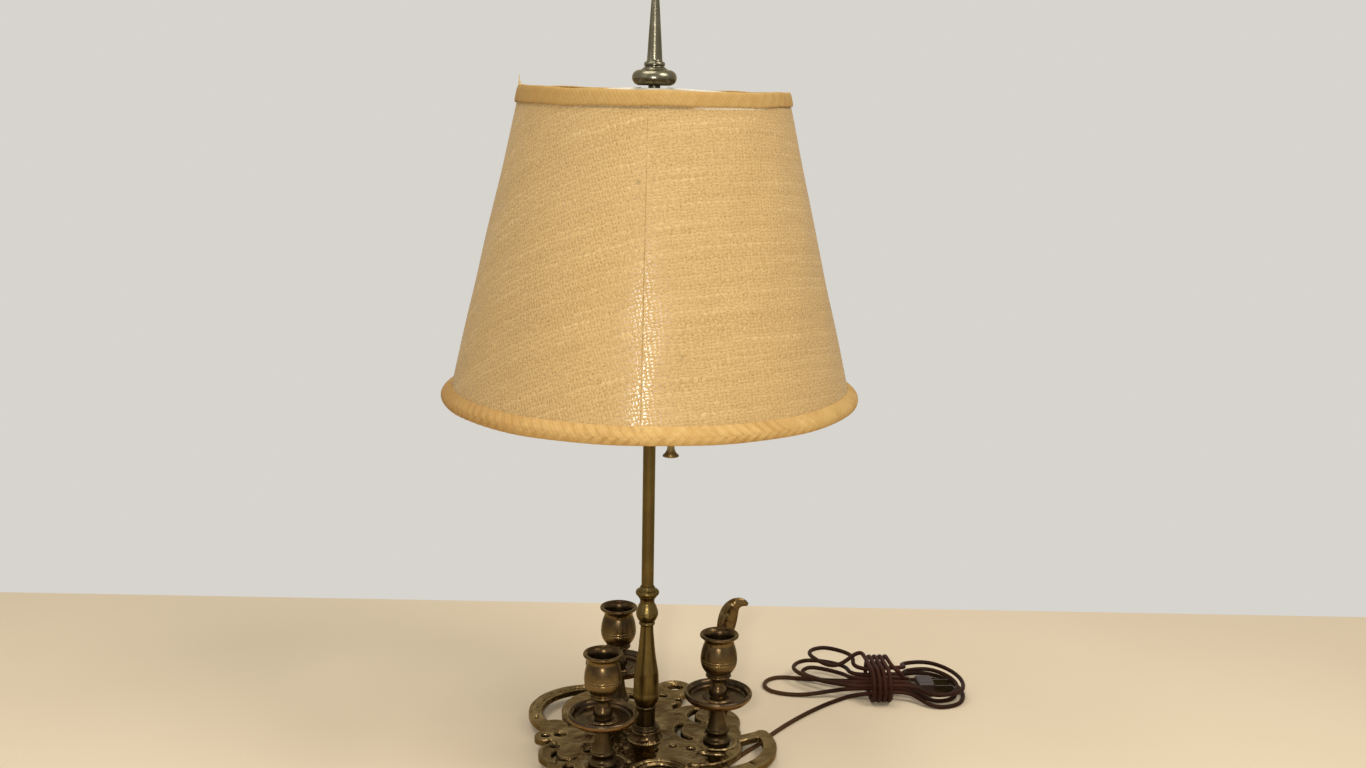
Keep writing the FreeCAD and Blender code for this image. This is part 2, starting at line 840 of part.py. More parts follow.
def scroll_handle():
    """A flattened scroll that rises behind the right cup and curls over to the right."""
    x = handle_root.x
    stations = [
        (x, plate_top + 2.5, 5.2, 90),
        (x + 0.6, plate_top + 28.0, 4.6, 88),
        (x + 3.2, plate_top + 58.0, 5.6, 84),
        (x + 5.4, plate_top + 75.0, 7.6, 78),
        (x + 8.6, plate_top + 85.0, 6.9, 52),
        (x + 13.6, plate_top + 90.3, 4.6, 18),
        (x + 18.4, plate_top + 90.6, 2.9, -14),
        (x + 21.4, plate_top + 88.9, 1.2, -34),
    ]
    sections = []
    for px, pz, radius, heading in stations:
        turn = math.radians(heading)
        across = V(-math.sin(turn), 0, math.cos(turn)) * radius
        side = V(0, radius, 0)
        rim = [V(px, 0, pz) + across * math.cos(step * math.pi / 4) + side * math.sin(step * math.pi / 4)
               for step in range(9)]
        arcs = [Part.Arc(rim[step], rim[step + 1], rim[step + 2]).toShape() for step in (0, 2, 4, 6)]
        sections.append(Part.Wire(arcs))
    horn = Part.makeLoft(sections, True, False, False, 3)
    flatten = FreeCAD.Matrix()
    flatten.scale(1.0, handle_flatness, 1.0)
    horn = horn.transformGeometry(flatten)
    horn.translate(V(0, handle_root.y, 0))
    foot = cylinder(handle_foot_radius, plate_top, plate_top + 2.0, x, handle_root.y)
    collar = cylinder(6.4, plate_top + 2.0, plate_top + 4.0, x, handle_root.y)
    handle = joined([horn, foot, collar])
    bore = cylinder(stud_radius, plate_top - 1, plate_top + stem_pad_height + 8.0, x, handle_root.y)
    return handle.cut(bore)


# Harp and lampholder

def facing_harp(shape):
    """Turns a shape drawn along X about the column to the harp's azimuth."""
    shape.rotate(V(0, 0, 0), UP, harp_azimuth)
    return shape


def harp_parts():
    nut = hexagon(locknut_across_flats, saddle_bottom - saddle_nut_height, saddle_bottom)
    add("saddle_locknut", nut.cut(cylinder(pole_radius, saddle_bottom - 10, saddle_bottom + 1)))
    half = saddle_strap / 2
    reach = saddle_half_width
    strap = Part.makeBox(2 * reach + saddle_strap, saddle_strap, saddle_thickness,
                         V(-reach - half, -half, saddle_bottom))
    pieces = [strap]
    for side in (-1, 1):
        pieces.append(cylinder(ferrule_radius, saddle_bottom, lug_bottom, side * reach, 0))
        pieces.append(cylinder(lug_radius, lug_bottom, harp_bottom, side * reach, 0))
    saddle = joined(pieces).cut(cylinder(pole_radius, saddle_bottom - 1, saddle_top + 1))
    add("harp_saddle", facing_harp(saddle))
    stations = [
        (V(-reach, 0, harp_bottom), V(0, 0, 1)),
        (V(-reach, 0, harp_bottom + harp_leg), V(0, 0, 1)),
        (V(-harp_half_width, 0, harp_bottom + 0.55 * harp_height), V(0, 0, 1)),
        (V(0, 0, harp_top), V(1, 0, 0)),
        (V(harp_half_width, 0, harp_bottom + 0.55 * harp_height), V(0, 0, -1)),
        (V(reach, 0, harp_bottom + harp_leg), V(0, 0, -1)),
        (V(reach, 0, harp_bottom), V(0, 0, -1)),
    ]
    edges = [Part.makeLine(stations[0][0], stations[1][0])]
    for here, there in zip(stations[1:5], stations[2:6]):
        edges += biarc(here[0], here[1], there[0], there[1])
    edges.append(Part.makeLine(stations[5][0], stations[6][0]))
    add("harp", facing_harp(swept(edges, harp_wire_radius, stations[0][0], stations[0][1])))
    disc = cylinder(harp_disc_radius, disc_bottom, hub_seat)
    span = 4 * harp_disc_radius
    groove = Part.makeCylinder(harp_wire_radius, span, V(-span / 2, 0, harp_top), V(1, 0, 0))
    stud = cylinder(harp_stud_radius, hub_seat - 1.0, hub_seat + harp_stud_height)
    add("harp_stud", facing_harp(joined([disc.cut(groove), stud])))
    bore = lug_radius + running_clearance
    for name, side in (("ferrule_front", -1), ("ferrule_rear", 1)):
        ferrule_top = lug_bottom + ferrule_length
        ferrule = tube_ring(bore, ferrule_radius, lug_bottom, ferrule_top, side * reach, 0)
        add(name, facing_harp(ferrule))


def lampholder_parts():
    cap_r = socket_cap_radius
    low = socket_bottom
    high = low + socket_cap_height
    wall = socket_wall
    neck_r = 0.62 * cap_r
    swell = 0.9 * cap_r
    swell_z = low + 0.22 * socket_cap_height
    skirt_z = low + 0.7 * socket_cap_height
    cap = turned(
        (pole_radius, low),
        [
            (neck_r, low),
            ((swell, swell_z), (cap_r, skirt_z)),
            (cap_r, high),
            (cap_r - wall, high),
            (cap_r - wall, skirt_z),
            ((swell - wall, swell_z + wall), (neck_r - wall, low + 1.2)),
            (pole_radius, low + 1.2),
        ],
    )
    shell_r = cap_r - wall - running_clearance
    shell = turned(
        (shell_r - wall, shell_bottom),
        [
            (shell_r, shell_bottom),
            (shell_r, high + 1.0),
            ((shell_r + 0.7, high + 2.0), (shell_r, high + 3.0)),
            (shell_r, shell_top - 2.0),
            ((shell_r + 0.8, shell_top - 1.0), (shell_r, shell_top)),
            (shell_r - wall, shell_top),
        ],
    )
    liner_r = shell_r - wall
    liner = tube_ring(liner_r - liner_wall, liner_r, shell_bottom + 0.5, shell_top - 0.8)
    body_r = screw_shell_radius + 0.8
    body = cylinder(body_r, socket_body_bottom, screw_shell_bottom)
    body = body.cut(cylinder(cord_radius + 0.4, socket_body_bottom - 1, socket_body_bottom + 6.0))
    step = cylinder(body_r, socket_body_bottom, socket_body_bottom + 3.0)
    body = body.cut(step.cut(cylinder(body_r - 3.0, socket_body_bottom - 1, socket_body_bottom + 3.0)))
    add("screw_shell", tube_ring(screw_shell_radius - screw_shell_wall, screw_shell_radius,
                                 screw_shell_bottom, screw_shell_bottom + screw_shell_height))
    add("centre_contact", cylinder(3.0, screw_shell_bottom, bulb_bottom))
    screws = []
    screw_z = socket_body_bottom + 9.0
    for side in (-1, 1):
        face = V(0, side * (body_r - 1.4), screw_z)
        head = Part.makeCylinder(terminal_screw_radius, 1.4, face, V(0, side, 0))
        shank = Part.makeCylinder(1.2, 5.0, V(0, side * (body_r - 6.0), screw_z), V(0, side, 0))
        screws.append(joined([head, shank]))
        body = body.cut(screws[-1])
    add("terminal_screws", Part.makeCompound(screws))
    spot = chain_offset
    guide_low = low + socket_cap_height - chain_guide_drop
    guide_high = guide_low + chain_guide_length
    guide = cylinder(chain_guide_radius, guide_low, guide_high, spot.x, spot.y)
    outward = math.degrees(math.atan2(spot.y, spot.x))
    web_length = math.hypot(spot.x, spot.y) - body_r + 1.0
    web = Part.makeBox(web_length, 4.0, 6.0, V(body_r - 0.6, -2.0, high + 4.0))
    web.rotate(V(0, 0, 0), UP, outward)
    hollow = cylinder(chain_bead_radius + 0.5, guide_low - 1, guide_high + 1, spot.x, spot.y)
    guide = joined([guide, web]).cut(hollow).cut(body)
    slot = web.fuse(cylinder(chain_guide_radius, guide_low - 0.2, guide_high, spot.x, spot.y))
    add("socket_cap", cap.cut(slot))
    add("socket_shell", shell.cut(slot))
    add("socket_liner", liner.cut(slot))
    add("socket_body", body)
    add("chain_guide", guide)


def pull_chain_parts():
    x = chain_offset.x
    y = chain_offset.y
    top_of_bell = chain_bell_bottom + bell_height
    steps = []
    bead = chain_bead_radius
    link = chain_link_radius
    rise = math.sqrt(bead * bead - link * link)
    low = top_of_bell
    for count in range(chain_beads):
        centre = low + 2.2 + count * chain_pitch
        steps.append((link, centre - rise))
        steps.append(((bead, centre), (link, centre + rise)))
    last = low + 2.2 + (chain_beads - 1) * chain_pitch + rise
    steps.append((0, last))
    steps.append((0, low))
    add("pull_chain", turned((link, low), steps, x, y))
    bell = turned(
        (0, chain_bell_bottom + 2.0),
        [
            (bell_radius - 1.6, chain_bell_bottom + 0.4),
            (bell_radius - 0.9, chain_bell_bottom),
            (bell_radius, chain_bell_bottom + 0.3),
            (bell_radius, chain_bell_bottom + 1.2),
            (
                (bell_stem_radius + 0.8, chain_bell_bottom + 4.2),
                (bell_stem_radius, chain_bell_bottom + 7.5),
            ),
            ((bell_stem_radius + 0.5, top_of_bell - 3.0), (link, top_of_bell)),
            (0, top_of_bell),
        ],
        x,
        y,
    )
    add("chain_bell", bell)


def bulb_parts():
    low = bulb_bottom
    tip = turned(
        (0, low),
        [
            (bulb_tip_radius - 1.5, low),
            (bulb_tip_radius, low + 1.5),
            (0, low + 1.5),
        ],
    )
    add("bulb_contact", tip)
    base_low = low + 1.5
    base_high = base_low + bulb_base_height
    base_r = screw_shell_radius - screw_shell_wall - running_clearance
    base = turned(
        (0, base_low),
        [
            (bulb_tip_radius + 2.0, base_low),
            (base_r - 0.5, base_low + 4.0),
            (base_r, base_low + 5.0),
            (base_r, base_high),
            (0, base_high),
        ],
    )
    add("bulb_base", base)
    centre = base_high + bulb_height - bulb_radius

    def envelope(inset):
        r = bulb_radius - inset
        neck = bulb_neck_radius - inset
        floor = base_high + inset
        return turned(
            (0, floor),
            [
                (neck, floor),
                (neck, floor + 4.0),
                ((neck + 2.6, base_high + 0.30 * bulb_height), (r - 3.2, centre - 0.48 * bulb_radius)),
                ((r - 0.6, centre - 0.2 * bulb_radius), (r, centre)),
                ((r * math.sqrt(0.5), centre + r * math.sqrt(0.5)), (0, centre + r)),
            ],
        )

    add("bulb_glass", envelope(0.0).cut(envelope(bulb_wall)))


# Shade

slope = (shade_bottom_radius - shade_top_radius) / shade_height


def cloth_radius(z):
    """The burlap's outer radius at a height."""
    return shade_bottom_radius - slope * (z - shade_bottom)


def shade_parts():
    low = shade_bottom
    high = shade_top
    outer = [cloth_radius(low), cloth_radius(high)]
    middle = [radius - cloth_thickness for radius in outer]
    inner = [radius - lining_thickness for radius in middle]
    cloth = turned((middle[0], low), [(outer[0], low), (outer[1], high), (middle[1], high)])
    add("shade_cloth", cloth)
    lining = turned((inner[0], low), [(middle[0], low), (middle[1], high), (inner[1], high)])
    wire = ring_wire_radius
    for name, level in (("shade_bottom_ring", low + wire + 1.0), ("shade_top_ring", high - wire - 1.0)):
        radius = cloth_radius(level) - cloth_thickness - lining_thickness - wire - 0.35
        add(name, Part.makeTorus(radius, wire, V(0, 0, level), UP))
    add("shade_lining", lining)
    ring_level = high - wire - 1.0
    ring_radius = cloth_radius(ring_level) - cloth_thickness - lining_thickness - wire - 0.35
    hub_mid = hub_seat + spider_hub_thickness / 2
    pieces = [cylinder(spider_hub_radius, hub_seat, hub_seat + spider_hub_thickness)]
    for count in range(spider_arms):
        azimuth = 90 + 360 * count / spider_arms
        start = polar(spider_hub_radius - 3.0, azimuth, hub_mid)
        end = polar(ring_radius, azimuth, ring_level)
        arm = Part.makeCylinder(spider_wire_radius, (end - start).Length, start, end - start)
        pieces.append(arm)
    spider = joined(pieces)
    spider = spider.cut(cylinder(harp_stud_radius + running_clearance, hub_seat - 4, hub_seat + 6))
    clear = cylinder(harp_disc_radius + 2.0, hub_seat - 6, hub_seat)
    room = Part.makeTorus(ring_radius, wire, V(0, 0, ring_level), UP)
    add("shade_spider", spider.cut(clear).cut(room))


def shade_trims():
    low = shade_bottom - bottom_trim_drop
    high = low + bottom_trim_height
    seam = cloth_radius(shade_bottom)
    top_seam = cloth_radius(high)
    bulge = shade_bottom_radius + bottom_trim_bulge
    bottom = turned(
        (seam, shade_bottom),
        [
            (seam - cloth_thickness - lining_thickness, shade_bottom),
            (seam - cloth_thickness - lining_thickness, low + 0.4),
            ((bulge - 3.4, low + 0.3), (bulge, low + 0.42 * bottom_trim_height)),
            ((bulge - 2.2, low + 0.82 * bottom_trim_height), (top_seam, high)),
        ],
    )
    add("shade_bottom_trim", bottom)
    band_low = shade_top - top_trim_height
    thickness = top_trim_thickness
    top = turned(
        (cloth_radius(band_low), band_low),
        [
            (cloth_radius(band_low) + thickness * 0.7, band_low - 0.3),
            (cloth_radius(band_low) + thickness, band_low + 1.2),
            (cloth_radius(shade_top) + thickness, shade_top - 0.8),
            (cloth_radius(shade_top) + thickness * 0.6, shade_top + 0.9),
            (cloth_radius(shade_top) - cloth_thickness - lining_thickness, shade_top + 0.9),
            (cloth_radius(shade_top) - cloth_thickness - lining_thickness, shade_top),
            (cloth_radius(shade_top), shade_top),
        ],
    )
    add("shade_top_trim", top)


# Finial

def finial_parts():
    bore = harp_stud_radius + running_clearance
    bore_top = hub_seat + harp_stud_height + 1.0
    bun_top = bun_bottom + bun_height
    collar_top = bun_top + collar_height
    bun = turned(
        (bore, finial_bottom),
        [
            (finial_neck_radius, finial_bottom),
            (finial_neck_radius, bun_bottom),
            (bun_radius - 5.0, bun_bottom),
            (
                (bun_radius, bun_bottom + 0.34 * bun_height),
                (0.62 * bun_radius, bun_bottom + 0.82 * bun_height),
            ),
            (collar_radius, bun_top),
            ((collar_radius + 0.7, bun_top + 0.5 * collar_height), (collar_radius, collar_top)),
            (0, collar_top),
            (0, bore_top),
            (bore, bore_top),
        ],
    )
    add("finial_bun", bun)
    tip = spire_tip_radius
    tip_centre = collar_top + spire_height - tip
    slant = tip * math.sqrt(0.5)
    spire = turned(
        (0, collar_top),
        [
            (spire_base_radius + 0.4, collar_top),
            (spire_base_radius, collar_top + 1.4),
            ((0.53 * spire_base_radius + 0.45 * tip, collar_top + 0.5 * spire_height), (tip, tip_centre)),
            ((slant, tip_centre + slant), (0, tip_centre + tip)),
        ],
    )
    add("finial_spire", spire)


# Cord

def on_hank(along, across, z):
    turn = math.radians(hank_heading)
    x = hank_centre.x + along * math.cos(turn) - across * math.sin(turn)
    y = hank_centre.y + along * math.sin(turn) + across * math.cos(turn)
    return V(x, y, z)


def hank_way(along, across, rise=0.0):
    return (on_hank(along, across, rise) - on_hank(0, 0, 0)).normalize()


def rounded_route(points):
    """Straight runs joined by tangent arcs as large as the runs allow."""
    edges = []
    radii = []
    here = points[0]
    for before, corner, after in zip(points, points[1:], points[2:]):
        into = (corner - before).normalize()
        out = (after - corner).normalize()
        turn = into.getAngle(out)
        setback = 0.45 * min((corner - before).Length, (after - corner).Length)
        radius = setback / math.tan(turn / 2)
        radii.append(radius)
        first = corner - into * setback
        last = corner + out * setback
        inward = (out - into).normalize()
        middle = corner + inward * (radius / math.cos(turn / 2) - radius)
        edges.append(Part.makeLine(here, first))
        edges.append(Part.Arc(first, middle, last).toShape())
        here = last
    edges.append(Part.makeLine(here, points[-1]))
    return edges, radii


def biarc_route(stations):
    edges = []
    for here, there in zip(stations, stations[1:]):
        edges += biarc(here[0], here[1], there[0], there[1])
    return edges


def hank_stations():
    """Places and directions along the hank's loops, from the free stretch to the wraps."""
    stations = [(free_route[-1], (free_route[-1] - free_route[-2]).normalize())]
    slot, level = -hank_outer_slot, hank_levels[0]
    for side, end_slot, end_layer, lead, swing, shoulder, reach, half_width, height in hank_lobes:
        leaving = hank_way(side * math.cos(math.radians(lead)), math.sin(math.radians(lead)))
        along = hank_way(side * math.cos(math.radians(swing)), math.sin(math.radians(swing)))
        across = V(along).cross(UP)
        root = on_hank(side * waist_half, 0, height)
        stations += [
            (on_hank(side * waist_half, slot, level), leaving),
            (root + along * shoulder + across * half_width, along),
            (root + along * reach, across * -1),
            (root + along * shoulder - across * half_width, along * -1),
        ]
        slot, level = end_slot, hank_levels[end_layer]
        stations.append((on_hank(side * waist_half, slot, level), hank_way(-side, 0)))
    return stations[:-1]


def wrap_stations(start):
    """The wraps that tie the waist, then the tail that runs down to the plug."""
    stations = [start]
    low = cord_radius
    middle = (low + wrap_top) / 2
    half = wrap_half_width
    flat = half - (wrap_top - low) / 2
    lean = wrap_pitch / (4 * half)
    ring = [
        ((flat, wrap_top), (-1, 0)),
        ((-flat, wrap_top), (-1, 0)),
        ((-half, middle), (0, -1)),
        ((-flat, low), (1, 0)),
        ((flat, low), (1, 0)),
        ((half, middle), (0, 1)),
    ]
    for count in range(len(ring) * wrap_turns + 1):
        (across, z), (way_across, way_z) = ring[count % len(ring)]
        along = wrap_start + count * wrap_pitch / len(ring)
        stations.append((on_hank(along, across, z), hank_way(lean, way_across, way_z)))
    stations += [
        (on_hank(tail_bend, tail_across, tail_height), hank_way(0.8, -0.1, -0.6)),
        (on_hank(plug_front, plug_across, plug_thickness / 2), hank_way(1, 0)),
    ]
    return stations


def report_tube(name, edges, shape):
    length = sum(edge.Length for edge in edges)
    radii = [edge.Curve.Radius for edge in edges if hasattr(edge.Curve, "Radius")]
    section = math.pi * cord_radius ** 2
    print(name, "length", round(length, 1), "volume ratio", round(shape.Volume / (section * length), 4),
          "least radius", round(min(radii), 2), "valid", shape.isValid())
    return length


def least_gap(edges):
    """The least clear distance between stretches of the cord that aren't neighbours."""
    path = Part.Wire(Part.__sortEdges__(edges))
    count = int(path.Length / cord_radius) + 1
    step = path.Length / (count - 1)
    ordered = [(index * step, point) for index, point in enumerate(path.discretize(count))]
    least = 1e9
    place = None
    apart = 8 * cord_radius
    for index, (distance, point) in enumerate(ordered):
        for other_distance, other in ordered[index + 1:]:
            if other_distance - distance > apart:
                gap = (point - other).Length
                if gap < least:
                    least = gap
                    place = (point, other)
    return least - 2 * cord_radius, place


def cord_parts():
    add("inner_cord", cylinder(cord_radius, cord_exit_z, socket_body_bottom + 4.0))
    free_edges, radii = rounded_route(free_route)
    print("free cord radii", [round(radius, 1) for radius in radii])
    free = swept(free_edges, cord_radius, free_route[0], free_route[1] - free_route[0])
    loops = hank_stations()
    loop_edges = biarc_route(loops)
    hank = swept(loop_edges, cord_radius, loops[0][0], loops[0][1])
    wraps = wrap_stations(loops[-1])
    wrap_edges = biarc_route(wraps)
    tied = swept(wrap_edges, cord_radius, wraps[0][0], wraps[0][1])
    total = report_tube("free_cord", free_edges, free)
    total += report_tube("cord_hank", loop_edges, hank)
    total += report_tube("cord_wraps", wrap_edges, tied)
    gap, place = least_gap(free_edges + loop_edges + wrap_edges)
    print("cord length", round(total, 1), "least gap", round(gap, 2), "at", place)
    add("free_cord", free)
    add("cord_hank", hank)
    add("cord_wraps", tied)


def plug_parts():
    """The plug at the cord's end, in the hank's frame, with its blades away from the waist."""
    body_start = plug_front + plug_neck_length
    body_end = body_start + plug_length
    middle = plug_thickness / 2
    corner = V(body_start, plug_across - plug_width / 2, 0)
    body = Part.makeBox(plug_length, plug_width, plug_thickness, corner)
    body = body.makeFillet(plug_edge, body.Edges)
    neck = Part.makeCylinder(
        plug_neck_radius, plug_neck_length + plug_edge, V(plug_front, plug_across, middle), V(1, 0, 0),
    )
    body = joined([body, neck])
    blades = []
    for side in (-1, 1):
        corner = V(
            body_end - blade_root,
            plug_across + side * blade_spacing / 2 - blade_thickness / 2,
            middle - blade_width / 2,
        )
        blade = Part.makeBox(blade_length + blade_root, blade_thickness, blade_width, corner)
        blades.append(blade)
        body = body.cut(blade)
    for name, shape in (("plug_body", body), ("plug_blades", Part.makeCompound(blades))):
        shape.rotate(V(0, 0, 0), UP, hank_heading)
        shape.translate(hank_centre)
        add(name, shape)


def build():
    add("base_plate", base_plate())
    add("base_feet", base_feet())
    add("plate_screws", plate_screws())
    add("scroll_handle", scroll_handle())
    hub_parts()
    column_parts()
    candle_arms()
    harp_parts()
    lampholder_parts()
    pull_chain_parts()
    bulb_parts()
    shade_parts()
    shade_trims()
    finial_parts()
    cord_parts()
    plug_parts()


def export():
    os.makedirs("parts", exist_ok=True)
    for name, shape in parts.items():
        shape.exportStep("parts/" + name + ".step")
        solids = len(shape.Solids)
        print(name, "solids", solids, "valid", shape.isValid(), "volume", round(shape.Volume, 1))


if __name__ == "__main__":
    build()
    export()
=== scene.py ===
import json
import math

import bpy
import numpy as np
from mathutils import Matrix, Vector


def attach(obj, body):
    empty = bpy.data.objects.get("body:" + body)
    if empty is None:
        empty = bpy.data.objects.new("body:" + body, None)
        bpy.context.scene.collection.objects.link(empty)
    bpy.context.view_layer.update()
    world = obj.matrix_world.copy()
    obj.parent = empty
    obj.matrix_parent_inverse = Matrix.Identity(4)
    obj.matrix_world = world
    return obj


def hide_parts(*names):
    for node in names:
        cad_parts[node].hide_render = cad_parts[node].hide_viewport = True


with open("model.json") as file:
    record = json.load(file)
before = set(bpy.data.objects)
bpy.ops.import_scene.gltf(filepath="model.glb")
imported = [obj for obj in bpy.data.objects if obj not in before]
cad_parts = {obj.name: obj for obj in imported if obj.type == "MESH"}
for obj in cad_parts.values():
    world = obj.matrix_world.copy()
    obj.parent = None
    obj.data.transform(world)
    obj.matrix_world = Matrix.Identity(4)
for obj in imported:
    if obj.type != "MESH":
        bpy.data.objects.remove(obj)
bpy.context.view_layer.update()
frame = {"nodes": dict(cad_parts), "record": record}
scene = bpy.context.scene
UP = Vector((0, 0, 1))


# Camera: level with the top of the shade, tilted down and rolled by one degree

CAMERA_PLACE = (0.0239, -1.025, 0.502)
CAMERA_TILT, CAMERA_ROLL = math.radians(11.68), math.radians(1.05)
CAMERA_LENS, CAMERA_SENSOR, CAMERA_NEAREST = 37.79, 36.0, 0.02


def make_camera():
    """Looks along +Y and down by the tilt, with the picture turned by the roll."""
    forward = Vector((0, math.cos(CAMERA_TILT), -math.sin(CAMERA_TILT)))
    level_up = Vector((0, math.sin(CAMERA_TILT), math.cos(CAMERA_TILT)))
    right = Vector((1, 0, 0)) * math.cos(CAMERA_ROLL) + level_up * math.sin(CAMERA_ROLL)
    up = right.cross(forward)
    data = bpy.data.cameras.new("camera")
    data.lens = CAMERA_LENS
    data.sensor_width = CAMERA_SENSOR
    data.clip_start = CAMERA_NEAREST
    camera = bpy.data.objects.new("camera", data)
    turn = Matrix((right, up, -forward)).transposed().to_4x4()
    camera.matrix_world = Matrix.Translation(CAMERA_PLACE) @ turn
    scene.collection.objects.link(camera)
    scene.camera = camera


make_camera()


# Nodes

class Net:
    """One material's nodes, so that its colour, gloss and relief can be written as sums."""

    def __init__(self, name):
        self.material = bpy.data.materials.new(name)
        self.material.use_nodes = True
        self.tree = self.material.node_tree
        self.shader = self.tree.nodes["Principled BSDF"]

    def plug(self, socket, value):
        if isinstance(value, bpy.types.NodeSocket):
            self.tree.links.new(value, socket)
        elif value is not None:
            socket.default_value = value

    def node(self, kind, inputs=(), **settings):
        made = self.tree.nodes.new("ShaderNode" + kind)
        for key, value in settings.items():
            setattr(made, key, value)
        for key, value in dict(inputs).items():
            self.plug(made.inputs[key], value)
        return made

    def math(self, operation, *values, clamp=False):
        made = self.node("Math", operation=operation, use_clamp=clamp)
        for socket, value in zip(made.inputs, values):
            self.plug(socket, value)
        return made.outputs[0]

    def total(self, first, *others):
        for other in others:
            first = self.math("ADD", first, other)
        return first

    def product(self, first, *others):
        for other in others:
            first = self.math("MULTIPLY", first, other)
        return first

    def span(self, value, low, high, to_low=0.0, to_high=1.0):
        inputs = {0: value, 1: low, 2: high, 3: to_low, 4: to_high}
        return self.node("MapRange", inputs, clamp=True).outputs[0]

    def place(self):
        return self.node("TexCoord").outputs["Object"]

    def parts(self, vector):
        return self.node("SeparateXYZ", {0: vector}).outputs

    def mirrored(self, vector):
        return self.stretched(vector, 1.0, 1.0, -1.0)

    def vector(self, x=0.0, y=0.0, z=0.0):
        return self.node("CombineXYZ", {0: x, 1: y, 2: z}).outputs[0]

    def stretched(self, vector, x=1.0, y=1.0, z=1.0):
        return self.node("VectorMath", {0: vector, 1: (x, y, z)}, operation="MULTIPLY").outputs[0]

    def noise(self, vector, scale, detail, roughness):
        inputs = {"Vector": vector, "Scale": scale, "Detail": detail, "Roughness": roughness}
        return self.node("TexNoise", inputs).outputs[0]

    def chance(self, vector):
        return self.node("TexWhiteNoise", {0: vector}, noise_dimensions="3D").outputs[0]

    def choose(self, share, first, second):
        """The first value where share is 0, the second where it is 1."""
        return self.node("Mix", {0: share, 2: first, 3: second}, data_type="FLOAT").outputs[0]

    def distance(self, vector, point):
        return self.node("VectorMath", {0: vector, 1: point}, operation="DISTANCE").outputs["Value"]

    def smooth_normal(self):
        """The surface's normal before any relief."""
        return self.node("NewGeometry").outputs["Normal"]

    def blend(self, share, first, second):
        """The first colour where share is 0, the second where it is 1."""
        made = self.node("Mix", data_type="RGBA", clamp_factor=True)
        for index, value in ((0, share), (6, first), (7, second)):
            if isinstance(value, tuple):
                value = (*value, 1.0)
            self.plug(made.inputs[index], value)
        return made.outputs[2]

    def relief(self, height, distance, strength=1.0, normal=None):
        inputs = {"Height": height, "Distance": distance, "Strength": strength, "Normal": normal}
        return self.node("Bump", inputs).outputs[0]

    def rounded(self, width):
        """The normal that the surface would have with its edges rounded off."""
        return self.node("Bevel", {"Radius": width}, samples=4).outputs[0]

    def edges(self, rounded):
        """1 on a corner or rim, 0 on flat ground."""
        pair = {0: rounded, 1: self.smooth_normal()}
        same = self.node("VectorMath", pair, operation="DOT_PRODUCT").outputs["Value"]
        return self.span(self.math("SUBTRACT", 1.0, same), 0.01, 0.12)

    def open_sky(self, reach):
        """0 in a crevice, 1 in the open."""
        return self.node("AmbientOcclusion", {"Distance": reach}, samples=4).outputs["AO"]

    def finish(self, **inputs):
        for key, value in inputs.items():
            if isinstance(value, tuple) and len(value) == 3:
                value = (*value, 1.0)
            self.plug(self.shader.inputs[key.replace("_", " ")], value)
        return self.material


# Brass

CENTRE_REACH = (0.050, 0.090)  # where the centre's colour begins to give way, and ends
CREVICE = 0.012  # how far apart two walls may stand and still shade each other
CAST_LUMPS = 80.0  # scale of the casting's unevenness
WARM_GLINT = (0.86, 0.76, 0.60, 1.0)  # colour of its reflections at a grazing angle


